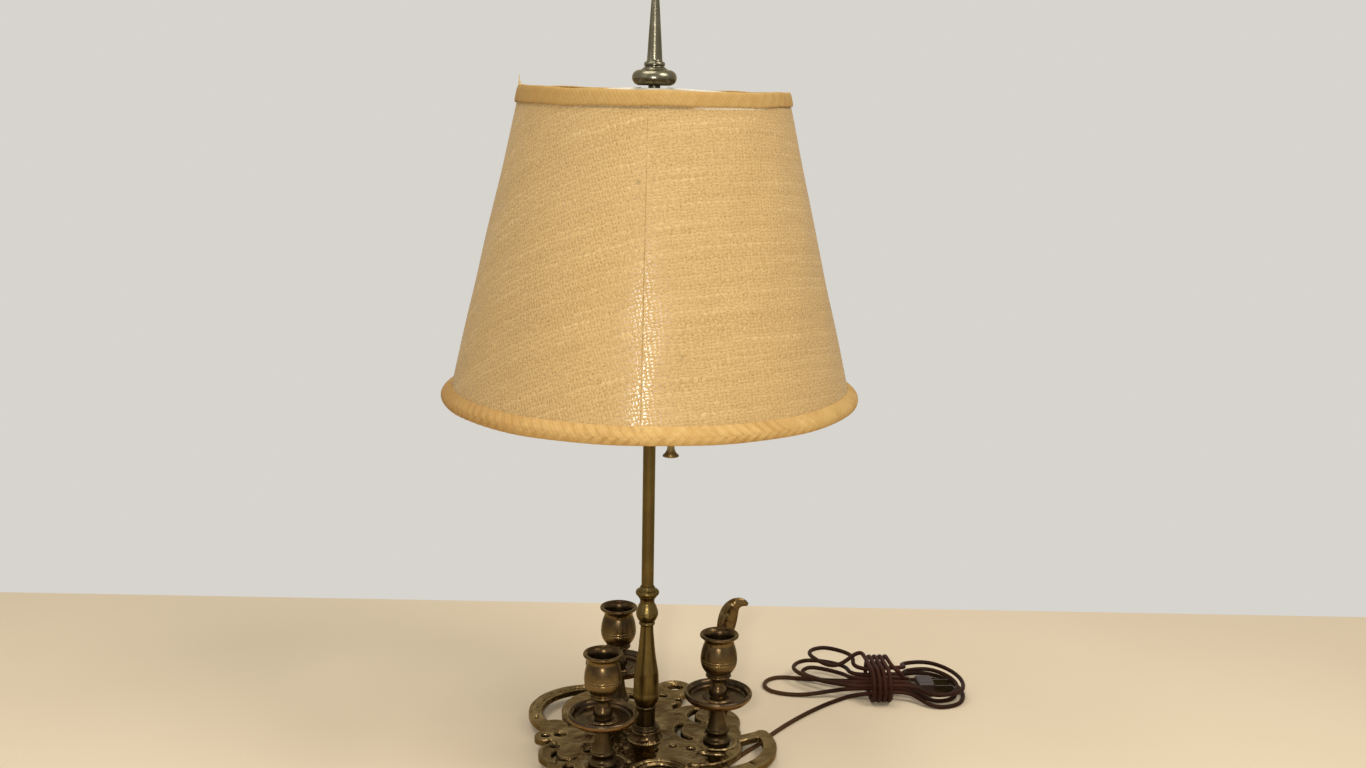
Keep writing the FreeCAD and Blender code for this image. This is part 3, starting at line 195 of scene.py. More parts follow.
def antique(
    name, dark, body, worn, gloss, lathe=0.0, edge=0.0009, wear=1.0, blotch=70.0,
    cast=0.0, painted_table_reflection=0.0, centre=None,
):
    """Brass that was darkened in a bath and rubbed back on its rims and swells.

    dark, body and worn are its colours in crevices, in the open and where it is rubbed, and gloss
    its least and greatest roughness. dark in crevices is partly patina and partly painted shade,
    also between separate parts that stand close. lathe is the height of turning marks, edge the
    width of a rubbed rim, wear the share that is rubbed and blotch the scale of its patches. cast
    is the height of the casting's soft lumps, painted_table_reflection how strongly undersides
    are painted golden, a painted reflection of the table, and centre the body's colour near the
    lamp's axis.
    """
    net = Net(name)
    place = net.place()
    patches = net.noise(place, blotch, 4.0, 0.55)
    fine = net.noise(place, 520.0, 3.0, 0.6)
    soft = net.rounded(edge)
    rubbed = net.math("MULTIPLY", net.edges(soft), net.span(patches, 0.3, 0.6, 0.45, 1.0))
    # Dark in hollows: partly patina, partly painted shade in crevices and between close parts
    clear_of_patina_and_shade = net.span(net.open_sky(CREVICE), 0.35, 0.95)
    clear_of_patina_and_shade = net.math("MULTIPLY", clear_of_patina_and_shade, net.span(patches, 0.25, 0.6, 0.6, 1.0))
    if centre:
        x, y, _ = net.parts(place)
        away = net.math("SQRT", net.total(net.product(x, x), net.product(y, y)))
        body = net.blend(net.span(away, *CENTRE_REACH), centre, body)
    colour = net.blend(clear_of_patina_and_shade, dark, body)
    golden = net.math("MULTIPLY", net.span(patches, 0.5, 0.75), 0.35 * wear)
    colour = net.blend(golden, colour, worn)
    # Painted reflection: undersides painted golden as if they reflect the warm table
    if painted_table_reflection:
        facing = net.parts(net.smooth_normal())[2]
        under = net.product(net.span(facing, -0.5, 0.3, 1.0, 0.0), painted_table_reflection)
        colour = net.blend(under, colour, worn)
    colour = net.blend(net.math("MULTIPLY", rubbed, wear * 0.9), colour, worn)
    colour = net.blend(net.span(fine, 0.6, 0.8, 0.0, 0.18), colour, dark)
    rough = net.span(patches, 0.3, 0.7, gloss[1], gloss[0])
    rough = net.total(rough, net.span(fine, 0.3, 0.7, -0.03, 0.04))
    grain = net.noise(place, 1500.0, 2.0, 0.5)
    height = net.total(net.product(fine, 0.4), net.product(grain, 0.25))
    if lathe:
        rings = net.noise(net.stretched(place, 0.0, 0.0, 1.0), 3200.0, 2.0, 0.5)
        height = net.total(height, net.product(rings, lathe))
    bump = net.relief(height, 0.0001, 0.6, soft)
    if cast:
        bump = net.relief(net.noise(place, CAST_LUMPS, 2.0, 0.45), cast, 1.0, bump)
    metal = net.span(clear_of_patina_and_shade, 0.0, 0.8, 0.8, 1.0)
    net.shader.inputs["Specular Tint"].default_value = WARM_GLINT
    return net.finish(Base_Color=colour, Roughness=rough, Metallic=metal, Normal=bump)


# Plain metal and moulded pieces

def plain_metal(name, colour, shade, rough):
    """Metal with cloudy patches of a second colour, and painted shade in its crevices."""
    net = Net(name)
    place = net.place()
    cloud = net.noise(place, 160.0, 3.0, 0.6)
    fine = net.noise(place, 900.0, 2.0, 0.5)
    tone = net.blend(net.span(cloud, 0.3, 0.72), colour, shade)
    # Painted shade: darker in crevices
    crevice_shade = net.span(net.open_sky(0.006), 0.3, 0.9, 0.65, 0.0)
    tone = net.blend(crevice_shade, tone, tuple(c * 0.35 for c in shade))
    gloss = net.span(fine, 0.3, 0.7, rough - 0.06, rough + 0.08)
    gloss = net.total(gloss, net.span(cloud, 0.4, 0.8, 0.0, 0.08))
    bump = net.relief(fine, 0.00008, 0.4)
    return net.finish(Base_Color=tone, Roughness=gloss, Metallic=1.0, Normal=bump)


def moulded(name, colour, shade, rough, depth=0.00008):
    """Rubber, plastic or fibre with a fine grain of the given depth."""
    net = Net(name)
    place = net.place()
    cloud = net.noise(place, 90.0, 3.0, 0.6)
    fine = net.noise(place, 700.0, 3.0, 0.6)
    tone = net.blend(net.span(cloud, 0.3, 0.7), colour, shade)
    gloss = net.span(fine, 0.3, 0.7, rough - 0.08, rough + 0.1)
    return net.finish(Base_Color=tone, Roughness=gloss, Normal=net.relief(fine, depth, 0.5))


# Cloth

STRAY = 1.1  # threads that a line is moved by where its noise rises from 0 to 1
ROUND, LIFT = 0.6, 0.42  # a thread's own section, and its rise over the next
SLUB_ALONG, SLUB_APART = 0.032, 1.37  # steps through the noise, along and between threads
FIBRE = 1900.0  # scale of the fibres' fuzz
WARP_DRAW, WEFT_DRAW = 7.0, 31.0  # keep the two directions' draws apart
FRONT_GAP = (0.4889, 0.4893)  # height of the gap under the top band, at its left and right
STAINS = (  # place, radius, strength
    ((-0.007, -0.109, 0.443), 0.0021, 0.8),
    ((0.0236, -0.1315, 0.3348), 0.0014, 0.55),
)


def weave(net, across, up, slack, gap, slim, share=0.5):
    """A plain weave in thread counts.

    slack is the noise that moves the two directions' threads, gap how much thinner a thread runs
    where gaps show, and slim how much thinner all are. share is how far the weft rather than
    the warp shows its gaps and its thick and thin places. Returns relief, bare ground, the hollows
    round it, thread shade and slub.
    """
    u, v = (
        net.total(count, net.product(net.math("SUBTRACT", noise, 0.5), STRAY))
        for count, noise in zip((across, up), slack)
    )
    column, row = net.math("FLOOR", u), net.math("FLOOR", v)
    fu = net.math("SUBTRACT", net.math("FRACT", u), 0.5)
    fv = net.math("SUBTRACT", net.math("FRACT", v), 0.5)
    parity = net.math("FLOORED_MODULO", net.math("ADD", column, row), 2.0)
    side = net.math("MULTIPLY_ADD", parity, 2.0, -1.0)
    threads = []
    far = net.math("SUBTRACT", 1.0, share)
    directions = ((fu, v, column, WARP_DRAW, far), (fv, u, row, WEFT_DRAW, share))
    for offset, along, index, draw, weight in directions:
        own = net.math("SUBTRACT", net.chance(net.vector(index, draw)), 0.5)
        own = net.math("MULTIPLY_ADD", own, weight, 0.5)
        track = net.vector(net.product(along, SLUB_ALONG), net.product(index, SLUB_APART), draw)
        run = net.noise(track, 1.0, 3.0, 0.62)
        run = net.math("MULTIPLY_ADD", net.math("SUBTRACT", run, 0.5), weight, 0.5)
        swell = net.span(run, 0.3, 0.75, -0.05, 0.12)
        width = net.total(net.product(own, 0.05), swell, net.product(weight, -gap))
        width = net.math("ADD", width, 0.5 - slim)
        across_thread = net.math("DIVIDE", offset, width)
        dome = net.math("SUBTRACT", 1.0, net.math("MULTIPLY", across_thread, across_thread))
        threads.append((dome, own, run))
    lift_warp = net.product(net.math("COSINE", net.product(fv, math.pi)), side, LIFT)
    lift_weft = net.product(net.math("COSINE", net.product(fu, math.pi)), side, -LIFT)
    warp = net.total(net.product(threads[0][0], ROUND), lift_warp)
    weft = net.total(net.product(threads[1][0], ROUND), lift_weft)
    on_warp = net.math("GREATER_THAN", threads[0][0], 0.0)
    on_weft = net.math("GREATER_THAN", threads[1][0], 0.0)
    warp = net.total(net.product(warp, on_warp), net.math("MULTIPLY_ADD", on_warp, 1.0, -1.0))
    weft = net.total(net.product(weft, on_weft), net.math("MULTIPLY_ADD", on_weft, 1.0, -1.0))
    height = net.math("MAXIMUM", warp, weft)
    bare = net.math("SUBTRACT", 1.0, net.math("MAXIMUM", on_warp, on_weft))
    hole = net.math("MINIMUM", net.math("ABSOLUTE", fu), net.math("ABSOLUTE", fv))
    hole = net.math("MAXIMUM", bare, net.span(hole, 0.22, 0.30))
    top = net.math("GREATER_THAN", warp, weft)
    tone = net.choose(top, threads[1][1], threads[0][1])
    slub = net.choose(top, threads[1][2], threads[0][2])
    return height, bare, hole, tone, slub


def burlap_material():
    """Coarse cloth, with a glossy sheet that shows through its gaps."""
    net = Net("burlap_weave")
    flat = net.node("UVMap", uv_map="weave").outputs[0]
    across, up, _ = net.parts(flat)
    place = net.place()
    slack = []
    for side in (place, net.mirrored(place)):
        slow, quick = net.noise(side, 26.0, 2.0, 0.5), net.noise(side, 260.0, 3.0, 0.6)
        slack.append(net.total(slow, net.product(quick, 2.0)))
    x, y, z = net.parts(place)
    # The warp's gaps show left of the seam and the weft's right of it, with a soft change behind
    soft = net.span(y, -0.09, 0.14, 0.001, 0.08)
    share = net.math("MULTIPLY_ADD", net.math("DIVIDE", x, soft), 0.45, 0.5, clamp=True)
    height, bare, hole, tone, slub = weave(net, across, up, slack, 0.09, 0.105, share)
    # Threads, their slubs and thin places, their fibres and specks, and painted shade between
    fibre = net.noise(place, FIBRE, 2.0, 0.6)
    colour = net.blend(net.span(tone, 0.0, 1.0), (0.52, 0.345, 0.136), (0.61, 0.420, 0.180))
    colour = net.blend(net.span(slub, 0.54, 0.76, 0.0, 0.8), colour, (0.78, 0.575, 0.285))
    colour = net.blend(net.span(slub, 0.28, 0.42, 0.3, 0.0), colour, (0.36, 0.205, 0.062))
    colour = net.blend(net.span(fibre, 0.35, 0.7, 0.25, 0.0), colour, (0.38, 0.22, 0.075))
    speck = net.noise(place, 640.0, 3.0, 0.65)
    colour = net.blend(net.span(speck, 0.32, 0.48, 0.4, 0.0), colour, (0.34, 0.20, 0.066))
    colour = net.blend(net.span(speck, 0.54, 0.7, 0.0, 0.35), colour, (0.76, 0.57, 0.285))
    # Painted shade in the hollows between threads, stronger at the left
    left_shade_strength = net.span(x, -0.11, 0.02, 0.75, 0.42)
    painted_hollow_shade = net.math("MULTIPLY", net.span(height, -0.1, 0.55, 1.0, 0.0), left_shade_strength)
    colour = net.blend(painted_hollow_shade, colour, (0.25, 0.14, 0.045))
    # The gaps' ground painted dark brown, as painted shade in the gaps
    colour = net.blend(bare, colour, (0.31, 0.185, 0.070))
    cloud = net.noise(place, 14.0, 3.0, 0.6)
    colour = net.blend(net.span(cloud, 0.35, 0.7, 0.16, 0.0), colour, (0.42, 0.26, 0.09))
    # The gap under the top band, painted: painted shade in front, the pale lining at the right
    gap = net.math("ABSOLUTE", net.math("SUBTRACT", z, net.span(x, -0.08, 0.09, *FRONT_GAP)))
    gap = net.total(gap, net.product(net.math("SUBTRACT", fibre, 0.5), 0.0008))
    gap = net.span(gap, 0.0004, 0.0010, 1.0, 0.0)
    front = net.math("LESS_THAN", y, 0.0)
    gap = net.product(gap, front)
    painted_gap_shade = net.product(gap, net.span(x, -0.07, -0.03), net.span(x, 0.020, 0.028, 1.0, 0.0))
    pale = net.product(gap, net.span(x, 0.026, 0.034), net.span(x, 0.070, 0.078, 1.0, 0.0))
    colour = net.blend(net.product(painted_gap_shade, 0.55), colour, (0.21, 0.155, 0.085))
    colour = net.blend(net.product(pale, 0.85), colour, (0.80, 0.70, 0.50))
    for centre, radius, strength in STAINS:
        ragged = net.product(net.math("SUBTRACT", fibre, 0.5), 0.0018)
        away = net.math("ADD", net.distance(place, centre), ragged)
        stain = net.span(away, radius * 0.4, radius * 1.5, strength, 0.0)
        colour = net.blend(stain, colour, (0.07, 0.045, 0.022))
    rough = net.choose(hole, 0.88, 0.26)
    depth = net.math("MAXIMUM", height, -0.25)
    bump = net.relief(net.total(depth, net.product(fibre, 0.18)), 0.00042, 0.8)
    sides = {0: hole, 4: bump, 5: net.smooth_normal()}
    normal = net.node("Mix", sides, data_type="VECTOR").outputs[1]
    return net.finish(Base_Color=colour, Roughness=rough, Normal=normal, Specular_IOR_Level=0.5)


def trim_material():
    """A bias-cut band: the weave runs aslant, with its folds' painted shade and highlight from the
    mesh.
    """
    net = Net("bias_trim")
    flat = net.node("UVMap", uv_map="weave").outputs[0]
    across, up, _ = net.parts(flat)
    place = net.place()
    slow = net.noise(place, 60.0, 2.0, 0.5)
    other = net.noise(net.mirrored(place), 60.0, 2.0, 0.5)
    height, bare, _, tone, slub = weave(net, across, up, (slow, other), 0.06, 0.03)
    fibre = net.noise(place, FIBRE, 2.0, 0.6)
    fold = net.node("Attribute", attribute_name="fold").outputs["Fac"]
    colour = net.blend(net.span(tone, 0.0, 1.0), (0.50, 0.310, 0.098), (0.60, 0.390, 0.140))
    colour = net.blend(net.span(slub, 0.5, 0.74, 0.0, 0.5), colour, (0.70, 0.48, 0.20))
    # Painted shade in the hollows and gaps between threads
    colour = net.blend(net.span(height, -0.1, 0.55, 0.4, 0.0), colour, (0.28, 0.15, 0.038))
    colour = net.blend(bare, colour, (0.25, 0.135, 0.038))
    # Painted shade in the folds' hollows and painted highlight on their crests
    colour = net.blend(net.span(fold, 0.0, 0.55, 0.45, 0.0), colour, (0.33, 0.175, 0.045))
    colour = net.blend(net.span(fold, 0.75, 1.0, 0.0, 0.2), colour, (0.74, 0.52, 0.24))
    # Painted shade at the left front, and duller along the top band
    x, y, z = net.parts(place)
    painted_left_shade = net.product(net.span(x, -0.135, 0.0, 0.6, 0.0), net.span(y, -0.03, 0.03, 1.0, 0.2))
    colour = net.blend(painted_left_shade, colour, (0.34, 0.17, 0.042))
    colour = net.blend(net.span(z, 0.3, 0.48, 0.0, 0.4), colour, (0.34, 0.20, 0.055))
    colour = net.blend(net.span(slow, 0.5, 0.62, 0.0, 0.3), colour, (0.40, 0.21, 0.055))
    colour = net.blend(net.span(fibre, 0.35, 0.7, 0.2, 0.0), colour, (0.33, 0.185, 0.052))
    depth = net.math("MAXIMUM", height, -0.2)
    bump = net.relief(net.total(depth, net.product(fibre, 0.2)), 0.0003, 0.7)
    rough = net.span(fibre, 0.3, 0.7, 0.8, 0.92)
    return net.finish(Base_Color=colour, Roughness=rough, Normal=bump, Specular_IOR_Level=0.3)


def lining_material():
    """A smooth off-white sheet."""
    net = Net("lining_sheet")
    place = net.place()
    cloud = net.noise(place, 30.0, 3.0, 0.6)
    fine = net.noise(place, 1100.0, 3.0, 0.6)
    tone = net.blend(net.span(cloud, 0.3, 0.72), (0.80, 0.75, 0.64), (0.72, 0.65, 0.51))
    tone = net.blend(net.span(fine, 0.35, 0.7, 0.14, 0.0), tone, (0.55, 0.46, 0.33))
    rough = net.span(fine, 0.3, 0.7, 0.42, 0.58)
    return net.finish(Base_Color=tone, Roughness=rough, Normal=net.relief(fine, 0.0001, 0.4))


# Cord and bulb

HANK = Vector((0.194, 0.114, 0.0))


def cord_material():
    """A dark brown sheath, paler near the lamp and redder on the hank's wraps."""
    net = Net("cord_sheath")
    place = net.place()
    cloud = net.noise(place, 55.0, 3.0, 0.6)
    fine = net.noise(place, 1300.0, 2.0, 0.6)
    scuff = net.noise(place, 320.0, 4.0, 0.68)
    colour = net.blend(net.span(cloud, 0.3, 0.7), (0.015, 0.0050, 0.0020), (0.030, 0.0105, 0.0042))
    near = net.span(net.parts(place)[0], 0.09, 0.15, 0.8, 0.0)
    colour = net.blend(near, colour, (0.085, 0.039, 0.013))
    tie = net.distance(place, (HANK.x, HANK.y, 0.016))
    colour = net.blend(net.span(tie, 0.02, 0.034, 0.85, 0.0), colour, (0.046, 0.0135, 0.0072))
    colour = net.blend(net.span(scuff, 0.58, 0.76, 0.0, 0.35), colour, (0.11, 0.058, 0.034))
    rough = net.span(scuff, 0.3, 0.7, 0.42, 0.6)
    rough = net.total(rough, net.span(fine, 0.3, 0.7, -0.03, 0.05))
    bump = net.relief(net.total(fine, net.product(scuff, 0.6)), 0.0001, 0.45)
    return net.finish(Base_Color=colour, Roughness=rough, Normal=bump, Specular_IOR_Level=0.08)


def glass_material():
    """Frosted bulb glass: pale, with a soft deeper tone near the neck."""
    net = Net("bulb_frost")
    place = net.place()
    z = net.parts(place)[2]
    fine = net.noise(place, 800.0, 2.0, 0.5)
    colour = net.blend(net.span(z, 0.322, 0.37), (0.62, 0.60, 0.55), (0.90, 0.89, 0.85))
    rough = net.span(fine, 0.3, 0.7, 0.26, 0.36)
    shader = net.finish(Base_Color=colour, Roughness=rough, Normal=net.relief(fine, 0.00003, 0.3))
    net.shader.inputs["Transmission Weight"].default_value = 0.45
    net.shader.inputs["IOR"].default_value = 1.48
    return shader


# Finishes: one look for each slot of the record, and three more for pieces that share a slot

finishes = {
    "plate": antique(
        "plate_brass", (0.042, 0.025, 0.010), (0.165, 0.106, 0.041), (0.46, 0.33, 0.145),
        (0.17, 0.30), edge=0.0016, blotch=38.0, cast=0.0034, centre=(0.078, 0.046, 0.020),
    ),
    "column": antique(
        "column_brass", (0.026, 0.017, 0.007), (0.120, 0.082, 0.026), (0.25, 0.175, 0.060),
        (0.26, 0.38), lathe=1.0, wear=0.6, blotch=40.0,
    ),
    "stem": antique(
        "stem_brass", (0.024, 0.015, 0.007), (0.062, 0.041, 0.018), (0.24, 0.165, 0.070),
        (0.24, 0.38), lathe=0.8, wear=0.7, blotch=60.0,
    ),
    "pan": antique(
        "pan_brass", (0.022, 0.0145, 0.009), (0.062, 0.043, 0.026), (0.36, 0.215, 0.090),
        (0.18, 0.32), lathe=0.6, edge=0.0011, painted_table_reflection=0.8,
    ),
    "cup": antique(
        "cup_brass", (0.020, 0.0115, 0.006), (0.064, 0.039, 0.018), (0.28, 0.190, 0.076),
        (0.22, 0.36), lathe=0.8, edge=0.0008, blotch=60.0, painted_table_reflection=0.75,
    ),
    "finial": antique(
        "finial_brass", (0.050, 0.043, 0.026), (0.150, 0.136, 0.092), (0.36, 0.335, 0.240),
        (0.20, 0.32), lathe=0.8, wear=0.7,
    ),
    "holder": plain_metal("holder_brass", (0.50, 0.35, 0.13), (0.36, 0.24, 0.085), 0.28),
    "zinc": plain_metal("zinc_plate", (0.52, 0.52, 0.50), (0.36, 0.36, 0.34), 0.36),
    "harp": plain_metal("harp_brass", (0.40, 0.285, 0.115), (0.24, 0.165, 0.065), 0.30),
    "insulation": moulded("phenolic", (0.022, 0.016, 0.013), (0.040, 0.028, 0.021), 0.36),
    "fibre": moulded(
        "pressed_fibre", (0.22, 0.135, 0.065), (0.14, 0.085, 0.042), 0.78, depth=0.00015,
    ),
    "chain": plain_metal("chain_brass", (0.30, 0.21, 0.09), (0.13, 0.088, 0.038), 0.32),
    "contact": plain_metal("contact_brass", (0.60, 0.43, 0.17), (0.46, 0.31, 0.12), 0.24),
    "bulb_cap": plain_metal("cap_aluminium", (0.66, 0.66, 0.67), (0.50, 0.50, 0.51), 0.34),
    "bulb_glass": glass_material(),
    "shade_wire": moulded("coated_wire", (0.66, 0.60, 0.48), (0.52, 0.46, 0.35), 0.48),
    "cord": cord_material(),
    "plug": moulded(
        "plug_rubber", (0.018, 0.0075, 0.004), (0.032, 0.014, 0.0075), 0.42, depth=0.00012,
    ),
    "plug_metal": plain_metal("plug_metal", (0.085, 0.062, 0.032), (0.048, 0.034, 0.017), 0.36),
    "burlap": burlap_material(),
    "trim": trim_material(),
    "fray": moulded("frayed_jute", (0.72, 0.56, 0.30), (0.60, 0.44, 0.21), 0.85),
    "lining": lining_material(),
}

own_look = {"plug_blades": "plug_metal", "pedestal": "stem", "pedestal_foot": "stem"}
own_look.update({"candle_stem_" + arm: "stem" for arm in ("right", "rear_left", "front_left")})
for part in frame["record"]["subparts"]:
    mesh = frame["nodes"][part["node"]].data
    mesh.materials.clear()
    mesh.materials.append(finishes[own_look.get(part["node"], part["material_slot"])])


def add_piece(name, data, body, slot, *nodes, look=None):
    """A visible piece that rides on a body and takes the place of the named solids."""
    piece = bpy.data.objects.new(name, data)
    scene.collection.objects.link(piece)
    data.materials.append(finishes[look or slot])
    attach(piece, body)
    if nodes:
        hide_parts(*nodes)
    return piece


# Cord: out of the base, over the table, and up to its hank

CORD = 0.0035
REST = CORD / 2  # height of its axis when it lies on the table
free_points = [
    (0.0, 0.0, 0.0096), (0.0, 0.0, 0.0054), (0.0032, -0.0026, REST), (0.0100, -0.0094, REST),
    (0.0240, -0.0195, REST), (0.0410, -0.0275, REST), (0.0560, -0.0270, REST),
    (0.0665, -0.0175, REST), (0.0760, -0.0025, REST), (0.0890, 0.0140, REST),
    (0.0990, 0.0310, REST), (0.1170, 0.0560, REST), (0.1370, 0.0790, REST),
    (0.1510, 0.0925, REST), (0.1610, 0.1005, REST),
]
HEADING = math.radians(4.0)  # of the hank's length from +X
WAIST = 0.013  # half the length that the tie covers
layers = (0.0080, 0.0138, 0.0196)  # heights of the cord inside the tie
# side, end slot, end layer, lead, swing, shoulder, reach, half width, height;
# lead and swing in degrees: how the cord leaves the waist, and where its lobe points
lobes = [
    (1, 0.012, 0, 0, 12, 0.032, 0.060, 0.0360, REST),
    (-1, -0.004, 0, 0, 16, 0.066, 0.084, 0.0175, REST),
    (1, 0.003, 1, 0, 10, 0.036, 0.054, 0.0230, REST),
    (-1, -0.004, 1, 12, 38, 0.035, 0.057, 0.0115, 0.00900),
    (1, 0.012, 1, 0, 12, 0.034, 0.055, 0.0280, 0.00850),
    (-1, -0.012, 1, 14, 38, 0.036, 0.065, 0.0200, 0.01250),
    (1, 0.012, 2, 0, 12, 0.034, 0.059, 0.0350, 0.01200),
    (-1, 0.000, 2, 34, 54, 0.035, 0.059, 0.0160, 0.02250),
]


def on_hank(along, across, z):
    c, s = math.cos(HEADING), math.sin(HEADING)
    return HANK + Vector((along * c - across * s, along * s + across * c, z))


def hank_way(along, across, rise=0.0):
    return (on_hank(along, across, rise) - HANK).normalized()


def hank_guides():
    """Where the cord passes and which way it points, lobe by lobe, then round the waist."""
    before, last = (Vector(point) for point in free_points[-2:])
    guides = [(last, (last - before).normalized())]
    slot, level = -0.012, layers[0]
    for number, lobe in enumerate(lobes, start=1):
        side, end_slot, end_layer, lead, swing, shoulder, reach, half, height = lobe
        lead, swing = math.radians(lead), math.radians(swing)
        along = hank_way(side * math.cos(swing), math.sin(swing))
        across = along.cross(UP)
        root = on_hank(side * WAIST, 0, height)
        guides += [
            (on_hank(side * WAIST, slot, level), hank_way(side * math.cos(lead), math.sin(lead))),
            (root + along * shoulder + across * half, along),
            (root + along * reach, -across),
            (root + along * shoulder - across * half, -along),
        ]
        slot, level = end_slot, layers[end_layer]
        if number < len(lobes):
            guides.append((on_hank(side * WAIST, slot, level), hank_way(-side, 0)))
    low, top, half, pitch = REST, 0.029, 0.0255, 0.0046
    middle, flat, lean = (low + top) / 2, half - (top - low) / 2, pitch / (4 * half)
    first, steps = -0.010, 25
    ring = [
        ((flat, top), (-1, 0)), ((-flat, top), (-1, 0)), ((-half, middle), (0, -1)),
        ((-flat, low), (1, 0)), ((flat, low), (1, 0)), ((half, middle), (0, 1)),
    ]
    for count in range(steps):
        (across, z), (way_across, way_z) = ring[count % len(ring)]
        place = on_hank(first + count * pitch / len(ring), across, z)
        guides.append((place, hank_way(lean, way_across, way_z)))
    # Down from the tie and into the plug
    guides.append((on_hank(0.0150, -0.0020, 0.0230), hank_way(0.8, -0.1, -0.6)))
    guides.append((on_hank(0.0295, 0.0030, 0.0065), hank_way(1, 0)))
    return guides


def hank_points():
    """Two control points between each pair of guides, on the lines that the cord touches."""
    points = []
    guides = hank_guides()
    for (start, a), (end, b) in zip(guides, guides[1:]):
        gap = end - start
        both = a + b
        share = 2 * (1 - a.dot(b))
        if share < 1e-9:
            reach = gap.dot(gap) / (2 * gap.dot(both))
        else:
            reach = (math.sqrt(gap.dot(both) ** 2 + share * gap.dot(gap)) - gap.dot(both)) / share
        points += [start + a * reach, end - b * reach]
    return points + [guides[-1][0]]


def make_cord():
    curve = bpy.data.curves.new("mains_cord", "CURVE")
    curve.dimensions = "3D"
    curve.bevel_depth = CORD / 2
    curve.bevel_resolution = 4
    curve.use_fill_caps = True
    curve.resolution_u = 6
    points = [Vector(p) for p in free_points] + hank_points()
    spline = curve.splines.new("NURBS")
    spline.points.add(len(points) - 1)
    for target, point in zip(spline.points, points):
        target.co = (*point, 1.0)
    spline.order_u = 3
    spline.use_endpoint_u = True
    spline.resolution_u = 6
    cord = add_piece("mains_cord", curve, "lamp", "cord", "free_cord", "cord_hank", "cord_wraps")


make_cord()


# Shade

LOW, HIGH = 0.2801, 0.4991
LOW_RADIUS, HIGH_RADIUS = 0.146, 0.0938
SLOPE = (LOW_RADIUS - HIGH_RADIUS) / (HIGH - LOW)
SLANT = math.hypot(HIGH - LOW, LOW_RADIUS - HIGH_RADIUS)
FAN = (LOW_RADIUS - HIGH_RADIUS) / SLANT  # turn of the flat cloth for each turn round the cone
SEAM = math.radians(-1.0)  # from -Y, the viewer's side
GRAIN = math.radians(8.5)  # of the threads to the flat cloth's first edge
CLOTH_WARP, CLOTH_WEFT = 0.0030, 0.0022
CLOTH_THICK, LINING_THICK, LINING_INSET = 0.0006, 0.0003, 0.0012
CLOTH_INSET = 0.00035  # draws the cloth in between its rings
LAP_WIDTH, LAP_HEIGHT = 0.075, 0.00008  # swell beside the seam, in radians and metres
CLOTH_GRID, LINING_GRID, TRIM_GRID = (100, 1081), (60, 541), (56, 1441)


def cone_radius(z):
    return LOW_RADIUS - SLOPE * (z - LOW)


def grid_mesh(name, points, uv=None, closed_rows=False):
    """A quad mesh from a grid of points, rows first, with an optional thread-count map."""
    rows, columns = points.shape[:2]
    index = np.arange(rows * columns).reshape(rows, columns)
    ahead = np.roll(index, -1, axis=0) if closed_rows else index[1:]
    here = index if closed_rows else index[:-1]
    quads = np.stack([here[:, :-1], here[:, 1:], ahead[:, 1:], ahead[:, :-1]], axis=-1)
    mesh = bpy.data.meshes.new(name)
    mesh.from_pydata(points.reshape(-1, 3).tolist(), [], quads.reshape(-1, 4).tolist())
    mesh.polygons.foreach_set("use_smooth", np.ones(len(mesh.polygons), bool))
    if uv is not None:
        layer = mesh.uv_layers.new(name="weave")
        corners = np.zeros(len(mesh.loops), int)
        mesh.loops.foreach_get("vertex_index", corners)
        layer.data.foreach_set("uv", uv.reshape(-1, 2)[corners].astype(np.float32).ravel())
    mesh.update()
    return mesh


def flat_threads(angle, z, warp, weft):
    """Thread counts of the cloth laid flat: the fan that a cone unrolls to, cut at the seam."""
    far = cone_radius(z) / FAN
    turn = angle * FAN
    x, y = far * np.sin(turn), -far * np.cos(turn)
    c, s = math.cos(GRAIN), math.sin(GRAIN)
    return np.stack([(x * c + y * s) / warp, (-x * s + y * c) / weft], axis=-1)


def cone_grid(rows, columns):
    """Heights up the shade and angles round it from the seam, rows first."""
    z = np.linspace(LOW, HIGH, rows)[:, None] * np.ones((1, columns))
    angle = np.linspace(0, 2 * math.pi, columns)[None, :] * np.ones((rows, 1))
    return z, angle


def round_axis(radius, angle, z):
    """Points at the given radii and heights, by their angle from the seam."""
    turn = angle + SEAM - math.pi / 2
    return np.stack([radius * np.cos(turn), radius * np.sin(turn), z], axis=-1)


def thicken(piece, thickness):
    """Give a sheet its thickness, on the inside."""
    thick = piece.modifiers.new("thickness", "SOLIDIFY")
    thick.thickness = thickness
    thick.offset = -1.0


def make_cloth():
    """The burlap, a little slack between its rings, with its two edges meeting at the seam."""
    z, angle = cone_grid(*CLOTH_GRID)
    uv = flat_threads(angle, z, CLOTH_WARP, CLOTH_WEFT)
    lap = np.clip(1 - angle / LAP_WIDTH, 0, 1) ** 0.35 * LAP_HEIGHT
    wave = 0.00028 * np.sin(7 * angle + 9 * z / LOW) + 0.0002 * np.sin(17 * angle - 21 * z / LOW)
    ease = np.sin(np.pi * (z - LOW) / (HIGH - LOW)) ** 0.5
    radius = cone_radius(z) + (wave - CLOTH_INSET) * ease + lap * ease
    mesh = grid_mesh("burlap_cloth", round_axis(radius, angle, z), uv)
    cloth = add_piece("burlap_cloth", mesh, "shade", "burlap", "shade_cloth")
    thicken(cloth, CLOTH_THICK)
    return cloth


def make_lining():
    """The pale sheet inside the cloth."""
    z, angle = cone_grid(*LINING_GRID)
    wave = 0.00012 * np.sin(11 * angle + 5 * z / LOW)
    radius = cone_radius(z) - LINING_INSET + wave
    mesh = grid_mesh("lining_sheet", round_axis(radius, angle, z))
    lining = add_piece("lining_sheet", mesh, "shade", "lining", "shade_lining")
    thicken(lining, LINING_THICK)
    return lining


